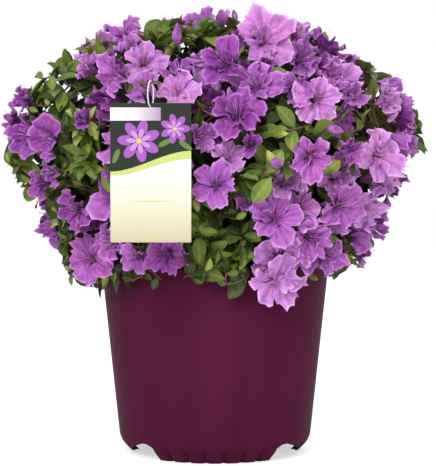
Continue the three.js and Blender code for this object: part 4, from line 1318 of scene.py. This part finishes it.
def bloom_shapes(span, opening, seed, grid):
    """Five-lobed funnels along +Y, as (n, 5, rows, columns, 3). Each petal is a fan that ends in a round
    lobe: at an angle a from its midline it reaches d cos a + sqrt(p^2 - d^2 sin^2 a), with p = 1 - d. The
    midline leans from the tube to the lip. Along its normal the petal is moved by a groove down the middle,
    a fold, an overlap, slow waves, crumples all over it and a ruffle at its edge."""
    places_along, places_across = petal_grid(*grid)
    k = np.arange(5)[None, :]
    draw = lambda choice: chance(seed[:, None] * 8 + k, choice)[..., None, None]
    t = places_along[None, None, :, None]
    v = places_across[None, None, None]
    wide = span[:, None, None, None] / 2
    opened = opening[:, None, None, None]
    d = 0.518 + 0.046 * draw(1)
    fan = 0.995 * np.arcsin((1 - d) / d)
    lobe = d * np.cos(v * fan) + np.sqrt(np.maximum(0, (1 - d) ** 2 - (d * np.sin(v * fan)) ** 2))
    wavy = lambda phase, choice: np.sin(math.tau * (phase + draw(choice)))
    margin = 0.018 * wavy(1.5 * v, 9) + 0.030 * wavy(3.1 * v, 11)
    margin = margin - FORM["dent"] * draw(13) * np.exp(-((v / 0.28) ** 2))
    reach = t * lobe * (0.90 + 0.16 * draw(2)) * (1 + margin * t**3)
    s = np.linspace(0, 1.1, 56)
    lip = np.radians(24 + 56 * opened + 66 * (draw(3) - 0.5))[..., 0]
    lean = np.radians(10) + (lip - np.radians(10)) * smooth((s - 0.14) / 0.58)
    lean = lean + (0.1 + 0.6 * draw(12)[..., 0]) * opened[..., 0] * np.maximum(0, s - 0.8) / 0.2
    run_out = np.cumsum(np.sin(lean), -1) * (s[1] - s[0])
    run_up = np.cumsum(np.cos(lean), -1) * (s[1] - s[0])
    at = lambda values: picked(values, reach / s[-1] * (len(s) - 1))
    lean_at, out_at, up_at = (at(values) for values in (lean, run_out, run_up))
    size = wide * (0.6 + 0.4 * opened) / (0.05 + run_out[..., 50].mean(1))[:, None, None, None]
    crease = -(0.03 + 0.06 * draw(14)) * (1 - abs(v)) ** 1.6 * np.sin(np.pi * np.clip(reach, 0, 1))
    fold = (0.07 - 0.15 * draw(4)) * abs(v) ** 2.2 * reach**1.8
    wave = FORM["wave"] * reach**2 * wavy(0.55 * v, 5)
    curl = FORM["curl"] * reach**3 * abs(v) * wavy(1.2 * v + 0.5 * t, 6)
    crumple = wavy(1.3 * v + 1.6 * t, 15) + wavy(1.2 * t - 1.7 * v, 16) + 0.8 * wavy(2.2 * v - 0.7 * t, 17)
    crumple = FORM["crumple"] * reach * crumple
    ruffle = FORM["ruffle"] * t**4 * (wavy(1.7 * v, 7) + 0.7 * wavy(2.9 * v, 19))
    lap = FORM["lap"] * v * reach
    lift = size * (crease + fold + wave + curl + crumple + ruffle + lap)
    half = np.radians(36) + (fan - np.radians(36)) * smooth((t - 0.2) / 0.3)
    turn = math.tau * (k[..., None, None] / 5 + chance(seed, 10)[:, None, None, None] / 5) + v * half
    turn = turn + 0.16 * (draw(8) - 0.5) * reach
    radius = 0.05 * size + size * out_at - np.cos(lean_at) * lift
    height = size * up_at * 0.86 + np.sin(lean_at) * lift
    parts = (radius * np.sin(turn), height, radius * np.cos(turn))
    return np.stack(np.broadcast_arrays(*parts), -1)


def picked(values, index):
    """Values (n, 5, s) read between their entries at fractional indices (n, 5, rows, columns)."""
    shape = index.shape
    flat = np.clip(index.reshape(*shape[:2], -1), 0, values.shape[-1] - 1.001)
    low = np.floor(flat).astype(int)
    values = np.broadcast_to(values, (*shape[:2], values.shape[-1]))
    first, second = np.take_along_axis(values, low, 2), np.take_along_axis(values, low + 1, 2)
    return (first + (second - first) * (flat - low)).reshape(shape)


def petal_finish(name, colour, deep):
    """A petal: another tint towards the throat that also paints the shade down its funnel, darker veins that
    fan out, a paler edge that is partly a painted highlight, slow changes between warm and cool, patches of
    painted shade and highlight that also mottle it, and crinkles."""
    finish = Finish(name, colour, 0.55, Specular_IOR_Level=0.3, Sheen_Weight=0.2, Sheen_Roughness=0.4)
    across, way = finish.across()
    off = abs(across - 0.5) * 2
    pale = toned(colour, 1.20, 0.05)
    # painted shade: a darker, bluer copy of the petal's colour, for the shaded patches and the veins
    shadow = (0.62 * colour[0], 0.46 * colour[1], 0.66 * colour[2])
    warm = (min(1, 1.12 * colour[0] + 0.02), 0.92 * colour[1], 0.84 * colour[2])
    body = finish.mix(finish.noise(22, 1).over(0.42, 0.62) * 0.65, colour, warm)
    # painted shade and highlight: soft patches towards the paler tint and towards the shade colour, which
    # paint the light and shade of crumples as well as a mottle
    mottle_light_and_shade = finish.noise(105, 2)
    body = finish.mix(mottle_light_and_shade.over(0.50, 0.66) * 0.55, body, pale)
    body = finish.mix((1 - mottle_light_and_shade.over(0.34, 0.48)) * 0.60, body, shadow)
    # towards the throat the petal takes a deeper tint, partly its own colour and partly painted shade down
    # the funnel
    throat = (1 - way.over(0.10, 0.58)) ** 1.3
    body = finish.mix(throat * 0.78, body, deep)
    veins = finish.node("ShaderNodeMath", {"operation": "COSINE"}, {0: off * 3 * math.tau})
    body = finish.mix(veins.over(0.2, 1.0) * (1 - way.over(0.55, 1.0)) * 0.45, body, shadow)
    body = finish.mix((1 - veins.over(-1.0, -0.2)) * way.over(0.35, 0.7) * 0.30, body, pale)
    rib = (1 - off.over(0.0, 0.22)) * (1 - way.over(0.55, 1.0)) * 0.5
    body = finish.mix(rib, body, deep)
    # a paler edge along the sides and the tip, partly the petal's own pale margin and partly a painted
    # highlight
    rim = toned(colour, 1.30, 0.22)
    body = finish.mix(off.over(0.86, 1.0) * way.over(0.45, 0.8) * 0.5, body, rim)
    finish.set("Base Color", finish.mix(way.over(0.91, 1.0) * 0.8, body, rim))
    finish.relief(finish.noise(230, 3) + veins * (1 - off * 0.5) * 0.25, 0.0022, 0.8)
    return finish.material


class AZALEA_OT_blooms(Operator):
    """Build the open blooms with their stamens, in one piece for each tone of petal"""

    bl_idname = "azalea.blooms"
    bl_label = "Blooms"

    def execute(self, context):
        chosen = settings("plant")
        blooms = [each for each in growth()["loads"] if each["kind"] == "bloom"]
        # the third colour of each tone is its throat's tint, which also paints the shade down the funnel
        tones = [("light", chosen.petal_light, srgb(214, 116, 158)),
                 ("middle", chosen.petal_mid, srgb(158, 56, 150)),
                 ("deep", chosen.petal_deep, srgb(118, 36, 134))]
        for k, (name, colour, deep) in enumerate(tones):
            finish = petal_finish(f"petal_{name}", tuple(colour), deep)
            for part, rings in (("outer", blooms), ("inner", second_rings(blooms))):
                own = [each for each in rings if each["tone"] == k]
                base, face, span, opening, seed = gathered(own)
                grid = PETAL[part]
                points = placed(bloom_shapes(span, opening, seed, grid), base, face, bloom_upright(face))
                t, v = np.meshgrid(*petal_grid(*grid), indexing="ij")
                places = np.broadcast_to(np.stack([0.5 + 0.5 * v, t], -1), (*points.shape[:4], 2))
                faces = [quads(len(own) * 5, *grid, flip=True)]
                add_piece(f"petals_{part}_{name}", points, faces, finish, "blossom", MASSES, places)
        base, face, span, _, seed = gathered(blooms)
        stamens(base, face, span, seed)
        return {"FINISHED"}


def second_rings(blooms):
    """Smaller petals that stand up inside the half-open blooms and inside every third one of the others."""
    made = []
    for each in blooms:
        seed = each["seed"]
        if each["opening"] < 0.5 or chance(seed, 18) < 0.34:
            base = each["base"] + each["face"] * 0.05 * each["span"]
            span = each["span"] * (0.50 + 0.22 * chance(seed, 21))
            made.append(dict(each, base=base, span=span, opening=0.55 * each["opening"], seed=seed + 60000))
    return made


def gathered(blooms):
    """Bases, directions, spans, openings and seeds of blooms, as arrays."""
    keys = ("base", "face", "span", "opening", "seed")
    return [np.array([each[key] for each in blooms]) for key in keys]


def bloom_upright(face):
    """A direction for the top of each bloom: up, or back where it faces up."""
    return np.where(abs(face[:, 2:]) > 0.9, [[0.0, 1.0, 0.0]], [[0.0, 0.0, 1.0]])


STAMEN = dict(count=5, radius=0.00032, anther=0.0018)


def stamens(base, face, span, seed):
    """Adds the filaments, thin curved tubes that fan out of each throat and bow upwards, and the anther at
    each one's end, a small eight-sided grain."""
    count = STAMEN["count"]
    number = np.arange(count)[None]
    draw = lambda choice: chance(seed[:, None] * 8 + number, choice)
    turn = math.tau * (number / count) + 0.7 * draw(31)
    spread = 0.10 + 0.10 * draw(32)
    reach = span[:, None] * (0.36 + 0.14 * draw(33))
    share = np.linspace(0, 1, 7)[None, None]
    radial = reach[..., None] * (0.02 + spread[..., None] * share)
    x = radial * np.sin(turn)[..., None]
    z = radial * np.cos(turn)[..., None] + reach[..., None] * 0.22 * share**2
    y = reach[..., None] * (0.12 + 0.88 * share) + 0 * x
    local = np.stack(np.broadcast_arrays(x, y, z), -1)
    paths = placed(local, base, face, bloom_upright(face)).reshape(-1, 7, 3)
    radii = np.full(paths.shape[:2], STAMEN["radius"]) * (1 - 0.3 * share[0])
    thread = Finish("stamen_thread", srgb(226, 170, 214), 0.5)
    thread.dapple(thread.noise(80, 1), 0.35, 0.65, srgb(212, 140, 198), srgb(240, 196, 222))
    tube_piece("stamens", paths, radii, 4, thread.material, "blossom", MASSES)
    grain = np.array([[0, 1, 0], [1, 0, 0], [0, 0, 1], [-1, 0, 0], [0, 0, -1], [0, -1, 0]]) * [0.4, 1, 0.4]
    tips, ways = paths[:, -1], unit(paths[:, -1] - paths[:, -2])
    local = np.broadcast_to(grain * STAMEN["anther"] / 2, (len(tips), 6, 3))
    points = placed(local, tips, ways, bloom_upright(ways) + 0.01)
    below = [[5, 1, 2], [5, 2, 3], [5, 3, 4], [5, 4, 1]]
    sides = np.array([[0, 2, 1], [0, 3, 2], [0, 4, 3], [0, 1, 4], *below])
    dusk = Finish("anther", srgb(88, 52, 66), 0.7)
    dusk.dapple(dusk.noise(300, 1), 0.3, 0.7, srgb(66, 38, 52), srgb(128, 84, 84))
    faces = [(sides[None] + 6 * np.arange(len(tips))[:, None, None]).reshape(-1, 3)]
    add_piece("anthers", points, faces, dusk.material, "blossom", MASSES)


class AZALEA_OT_buds(Operator):
    """Build the closed buds and the green scales under them and under the blooms"""

    bl_idname = "azalea.buds"
    bl_label = "Buds"

    def execute(self, context):
        loads = growth()["loads"]
        shut = [(e["base"], e["face"], e["seed"]) for e in loads if e["kind"] == "bud"]
        shut += [(w["root"] - w["face"] * 0.004, w["face"], w["seed"]) for w in growth()["whorls"]
                 if w["kind"] == "bud" and w["seed"] >= INNER["first_seed"]]
        base, face, seed = (np.array(part) for part in zip(*shut))
        rows, columns = 13, 20
        points = placed(bud_shapes(seed, rows, columns), base, face, bloom_upright(face))
        finish = Finish("bud_petal", srgb(176, 84, 176), 0.5, Sheen_Weight=0.2)
        tint = finish.noise(90, 2)
        folds = finish.noise(420, 2, finish.place((1, 1, 0.5)))
        body = finish.mix(tint.over(0.35, 0.65), srgb(138, 52, 148), srgb(202, 122, 204))
        finish.set("Base Color", finish.mix(folds.over(0.5, 0.75) * 0.4, body, srgb(112, 36, 122)))
        finish.relief(folds, 0.0004)
        ends = caps(len(seed), rows, columns)[:, ::-1]
        faces = [quads(len(seed), rows, columns, wrap=True, flip=True), ends]
        add_piece("buds", points, faces, finish.material, "blossom", MASSES)
        blooms = [each for each in loads if each["kind"] == "bloom"]
        at = np.r_[base, [each["base"] for each in blooms]]
        way = np.r_[face, [each["face"] for each in blooms]]
        scales(at, way, np.r_[seed, [each["seed"] for each in blooms]])
        return {"FINISHED"}


def bud_shapes(seed, rows, columns):
    """Closed buds along +Y: radius R sin(pi h^0.7)^0.85, with five folds that wind round by 2.2 radians."""
    h = np.linspace(0.02, 0.985, rows)[None, :, None]
    turn = (np.arange(columns) * math.tau / columns)[None, None]
    size = (0.55 + 0.5 * chance(seed, 81))[:, None, None]
    plump = (0.9 + 0.5 * chance(seed, 82))[:, None, None]
    folds = 1 + 0.16 * h * np.cos(5 * turn - 2.2 * math.pi * h + 6 * chance(seed, 83)[:, None, None])
    radius = BUD["radius"] * size * plump * np.sin(np.pi * h**0.72) ** 0.85 * folds
    parts = (radius * np.sin(turn), BUD["length"] * size * h, radius * np.cos(turn))
    return np.stack(np.broadcast_arrays(*parts), -1)


def scales(at, way, seed):
    """Adds five small pointed scales round the base of each bud and bloom, made as little leaves."""
    count = 5
    item = (seed[:, None] * 8 + np.arange(count)).ravel()
    side = unit(np.cross(way, bloom_upright(way)))
    turn = math.tau * np.arange(count)[None] / count + 6.28 * chance(seed, 84)[:, None]
    around = turned(np.repeat(side, count, 0), np.repeat(way, count, 0), turn.ravel())
    goes = unit(np.repeat(way, count, 0) + around * (0.45 + 0.4 * chance(item, 85))[:, None])
    size = 0.007 + 0.005 * chance(item, 86)
    shapes = leaf_shapes(size, item, 0.42, LEAF_GRID["coarse"])
    points = placed(shapes, np.repeat(at, count, 0) - goes * 0.001, goes, -around)
    finish = leaf_finish("bud_scale", srgb(138, 132, 66), 0.5)
    add_piece("bud_scales", points, *leaf_faces(len(item), LEAF_GRID["coarse"], finish, "leaf"))


class AZALEA_OT_tag(Operator):
    """Finish the hanging tag and print its generic design"""

    bl_idname = "azalea.tag"
    bl_label = "Plant tag"

    def execute(self, context):
        chosen = settings("tag")
        card = Finish("tag_card", tuple(chosen.card), 0.32, Coat_Weight=0.25, Coat_Roughness=0.2)
        rise = card.node("ShaderNodeSeparateXYZ", None, {0: card.place()}, out=2)
        share = rise.over(TAG["bottom"], TAG["bottom"] + 0.60 * TAG["height"])
        paper = card.noise(500, 2)
        body = card.mix(share ** 0.8, tuple(chosen.card_foot), tuple(chosen.card))
        card.set("Base Color", card.mix(paper.over(0.4, 0.7) * 0.05, body, tuple(chosen.card_foot)))
        card.relief(paper, 0.00003)
        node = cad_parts["tag_card"]
        node.data.materials.clear()
        node.data.materials.append(card.material)
        print_tag(chosen)
        return {"FINISHED"}


def ink(name, colour):
    """Printed ink on card: nearly even, with a slight mottle and a soft gloss."""
    finish = Finish(name, colour, 0.3, Coat_Weight=0.3, Coat_Roughness=0.2)
    mottle = finish.noise(260, 3)
    finish.dapple(mottle, 0.3, 0.7, toned(colour, 0.96), colour)
    finish.relief(mottle, 0.00002)
    return finish.material


def film(name, lower, upper, layer, finish, chosen):
    """A thin closed plate on the front of the tag between two curves, given as arrays (columns, 2) of x
    from the tag's middle and z from its foot. Its grid goes round it: front, top, back, foot."""
    front = TAG["y"] - TAG["thick"] / 2 - chosen.film * layer
    back = TAG["y"] - TAG["thick"] / 2 + 0.00005
    round_it = np.stack([lower, upper, upper, lower], 1)
    depth = np.array([front, front, back, back]) + 0 * round_it[..., 0]
    points = np.stack([TAG["x"] + round_it[..., 0], depth, TAG["bottom"] + round_it[..., 1]], -1)
    rows = len(lower)
    faces = [quads(1, rows, 4, wrap=True, flip=True), caps(1, rows, 4)[:, ::-1]]
    return add_piece(name, points, faces, finish, "tag", sharp=40)


def print_tag(chosen):
    """The tag's design: a dark panel over a curved band, a pale strip, simple flowers and leaves, a fine
    rule."""
    half = TAG["width"] / 2
    x = np.linspace(-half + 0.0001, half - 0.0001, 41)
    share = (x + half) / TAG["width"]
    foot = 0.079 + 0.023 * smooth(share)
    top = np.full_like(x, TAG["height"] - 0.0001)
    below = foot - (0.0045 + 0.0050 * share)
    line = lambda z: np.stack([x, z], 1)
    film("tag_panel", line(foot), line(top), 1, ink("panel_ink", tuple(chosen.panel)), chosen)
    film("tag_band", line(below), line(foot), 1, ink("band_ink", tuple(chosen.band)), chosen)
    strip = x[x < 0.0115]
    edge = lambda z: np.stack([strip, z + 0 * strip], 1)
    film("tag_strip", edge(0.1355), edge(0.1500), 3, strip_ink(tuple(chosen.card)), chosen)
    rule = np.linspace(-0.026, 0.026, 21)
    thin = 0.0006 * (1 - (rule / 0.0265) ** 2)
    film("tag_rule", np.stack([rule, 0.046 - thin], 1), np.stack([rule, 0.046 + thin], 1), 1,
         ink("rule_ink", tuple(chosen.band)), chosen)
    petal, eye = ink("motif_petal", srgb(168, 92, 190)), ink("motif_eye", srgb(232, 200, 120))
    pale, green = ink("motif_pale", srgb(206, 148, 216)), ink("motif_leaf", srgb(96, 134, 60))
    flowers = [(-0.013, 0.1130, 0.0235, 7, petal), (0.0270, 0.1265, 0.0165, 7, petal)]
    for number, (x0, z0, size, count, finish) in enumerate(flowers):
        for k in range(count):
            turn = math.tau * k / count + 0.4 + 0.5 * number
            at = (x0, z0, 0.60 * size, turn)
            oval(f"tag_motif_{number}_{k}", *at, 0.42 * size, 0.24 * size, 1.6, finish, chosen)
            at = (x0, z0, 0.36 * size, turn)
            oval(f"tag_inner_{number}_{k}", *at, 0.24 * size, 0.11 * size, 2.3, pale, chosen)
        oval(f"tag_eye_{number}", x0, z0, 0, 0, 0.13 * size, 0.13 * size, 3, eye, chosen)
    leaves = [(0.0160, 0.1110, 0.5), (-0.0385, 0.0960, 1.2), (0.0385, 0.1080, -0.6)]
    for number, (x0, z0, turn) in enumerate(leaves):
        oval(f"tag_leaf_{number}", x0, z0, 0, turn, 0.0085, 0.0030, 1.3, green, chosen)


def strip_ink(colour):
    """The pale strip's ink, which goes from the card's colour at the left to lilac grey at the right."""
    finish = Finish("strip_ink", colour, 0.3, Coat_Weight=0.3, Coat_Roughness=0.2)
    side = finish.node("ShaderNodeSeparateXYZ", None, {0: finish.place()})
    middle = TAG["x"] - 0.010
    finish.dapple(side, middle - 0.020, middle + 0.022, colour, srgb(176, 146, 186))
    return finish.material


def oval(name, x0, z0, reach, turn, long, wide, layer, finish, chosen):
    """An oval film whose middle lies at a distance and turn from a point: edges at +- b sqrt(1 - s^2) along
    s."""
    s = -np.cos(np.linspace(0.12, math.pi - 0.12, 13))
    edge = wide * np.sqrt(1 - s**2)
    out, up = reach + long * s, edge
    cos, sin = math.cos(turn), math.sin(turn)
    lower = np.stack([x0 + out * cos + up * sin, z0 + out * sin - up * cos], 1)
    upper = np.stack([x0 + out * cos - up * sin, z0 + out * sin + up * cos], 1)
    return film(name, lower, upper, layer, finish, chosen)


class AZALEA_OT_loop(Operator):
    """Build the elastic loop that the tag hangs on"""

    bl_idname = "azalea.loop"
    bl_label = "Tag loop"

    def execute(self, context):
        cord = Finish("elastic_cord", srgb(244, 242, 236), 0.55)
        weave = cord.noise(1500, 1)
        cord.dapple(weave, 0.4, 0.6, srgb(226, 222, 212), srgb(250, 249, 245))
        cord.relief(weave, 0.0001)
        add_piece("loop_cord", *loop_shape(96, 10), cord.material, "loop", ["tag_loop"])
        return {"FINISHED"}


def loop_shape(steps, sides):
    """A cord closed to a ring: its middle is at a sin t to the side and rises by (1 - cos t) / 2 from the
    hole's edge to the twig, with a circle of the wire's radius round it."""
    bottom = TAG["bottom"] + TAG["height"] - TAG["above_hole"] - 0.0003 - GAP - LOOP["wire"]
    top = hanger()[0, 2] + HANGER["radius"] + GAP + LOOP["wire"]
    turn = np.arange(steps) * math.tau / steps
    swing = np.array([*LOOP["swing"], 0.0])
    rise = bottom + (top - bottom) * (0.5 - 0.5 * np.cos(turn))
    path = np.array([TAG["x"], TAG["y"], 0.0]) + swing * np.sin(turn)[:, None] + UP * rise[:, None]
    way = unit(np.roll(path, -1, 0) - np.roll(path, 1, 0))
    side = np.broadcast_to(unit(np.array([swing[1], -swing[0], 0.0])), way.shape)
    inward = np.cross(way, side)
    ring_turn = np.arange(sides) * math.tau / sides
    circle = np.cos(ring_turn)[:, None] * side[:, None] + np.sin(ring_turn)[:, None] * inward[:, None]
    column, row = np.arange(sides), np.arange(steps)[:, None]
    beside_it, ahead = (column + 1) % sides, (row + 1) % steps * sides
    faces = np.stack([row * sides + column, row * sides + beside_it, ahead + beside_it, ahead + column], -1)
    return path[:, None] + LOOP["wire"] * circle, [faces.reshape(-1, 4)[:, ::-1]]


# The floor's half width and how far it lies below the pot, and the lamps: place, size, share of the power
FLOOR = dict(half=6.0, drop=0.0002)
LAMPS = dict(
    key=((-0.7, -2.2, 1.6), 1.3, 1), fill=((1.7, -1.5, 0.9), 1.2, 1), back=((0.4, 1.6, 1.9), 1.2, 1.7)
)
AIM = Vector((0, 0, 0.32))


class AZALEA_OT_stage(Operator):
    """Set the floor, the lights and the camera"""

    bl_idname = "azalea.stage"
    bl_label = "Stage"

    def execute(self, context):
        chosen = settings("stage")
        scene = context.scene
        floor = Finish("floor", tuple(chosen.floor), 0.9, Emission_Strength=chosen.glow)
        seen = floor.node("ShaderNodeLightPath", out="Is Camera Ray")
        floor.set("Emission Color", floor.mix(seen, (0, 0, 0), (1, 1, 1)))
        corners = np.array([[-1, -1, 0], [1, -1, 0], [1, 1, 0], [-1, 1, 0]])
        ground = FLOOR["half"] * corners - FLOOR["drop"] * UP
        add_piece("floor", ground, [np.array([[0, 1, 2, 3]])], floor.material, None)
        scene.world = white_room(chosen.sky)
        for name, (at, size, power) in LAMPS.items():
            area_lamp(name, at, size, power * getattr(chosen, "key" if name == "key" else "fill"))
        scene.view_settings.view_transform = "Standard"
        camera = bpy.data.objects.new("camera", bpy.data.cameras.new("camera"))
        scene.collection.objects.link(camera)
        camera.location = (chosen.aside, -chosen.distance, chosen.height)
        camera.rotation_euler = (math.radians(90 - chosen.pitch), 0, 0)
        camera.data.lens = chosen.lens
        camera.data.sensor_width = 36
        scene.camera = camera
        return {"FINISHED"}


def white_room(strength):
    """White surroundings that light the plant with a given strength and look fully white."""
    world = bpy.data.worlds.new("white_room")
    world.use_nodes = True
    tree = world.node_tree
    back = tree.nodes["Background"]
    back.inputs["Color"].default_value = (1, 1, 1, 1)
    seen = tree.nodes.new("ShaderNodeLightPath")
    share = tree.nodes.new("ShaderNodeMapRange")
    share.inputs["To Min"].default_value = strength
    tree.links.new(seen.outputs["Is Camera Ray"], share.inputs["Value"])
    tree.links.new(share.outputs[0], back.inputs["Strength"])
    return world


def area_lamp(name, at, size, power):
    """A square lamp that faces the crown."""
    lamp = bpy.data.lights.new(name, "AREA")
    lamp.size, lamp.energy = size, power
    holder = bpy.data.objects.new(name, lamp)
    bpy.context.scene.collection.objects.link(holder)
    holder.location = at
    holder.rotation_euler = (AIM - Vector(at)).to_track_quat("-Z", "Y").to_euler()


class AZALEA_PT_panel(Panel):
    """The pieces of the potted azalea, in the order they are built"""

    bl_label = "Potted azalea"
    bl_idname = "AZALEA_PT_panel"
    bl_space_type = "VIEW_3D"
    bl_region_type = "UI"
    bl_category = "Azalea"

    def draw(self, context):
        for group in GROUPS:
            box = self.layout.box()
            for name in GROUPS[group].__annotations__:
                box.prop(settings(group), name)
        for operator in OPERATORS:
            self.layout.operator(operator.bl_idname)


GROUPS = dict(container=ContainerSettings, plant=PlantSettings, tag=TagSettings, stage=StageSettings)
OPERATORS = [
    AZALEA_OT_stage, AZALEA_OT_container, AZALEA_OT_filling, AZALEA_OT_wood, AZALEA_OT_twigs,
    AZALEA_OT_leaves, AZALEA_OT_blooms, AZALEA_OT_buds, AZALEA_OT_tag, AZALEA_OT_loop,
]
CLASSES = [*GROUPS.values(), *OPERATORS, AZALEA_PT_panel]


def register():
    """Registers every class and puts the groups of settings on the scene."""
    for each in CLASSES:
        bpy.utils.register_class(each)
    for name, group in GROUPS.items():
        setattr(bpy.types.Scene, "azalea_" + name, PointerProperty(type=group))


def unregister():
    """Takes the groups of settings and the classes away again."""
    for name in GROUPS:
        delattr(bpy.types.Scene, "azalea_" + name)
    for each in reversed(CLASSES):
        bpy.utils.unregister_class(each)


def main():
    """Builds every piece in order."""
    register()
    for operator in OPERATORS:
        group, name = operator.bl_idname.split(".")
        getattr(getattr(bpy.ops, group), name)()
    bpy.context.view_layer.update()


if __name__ == "__main__":
    main()
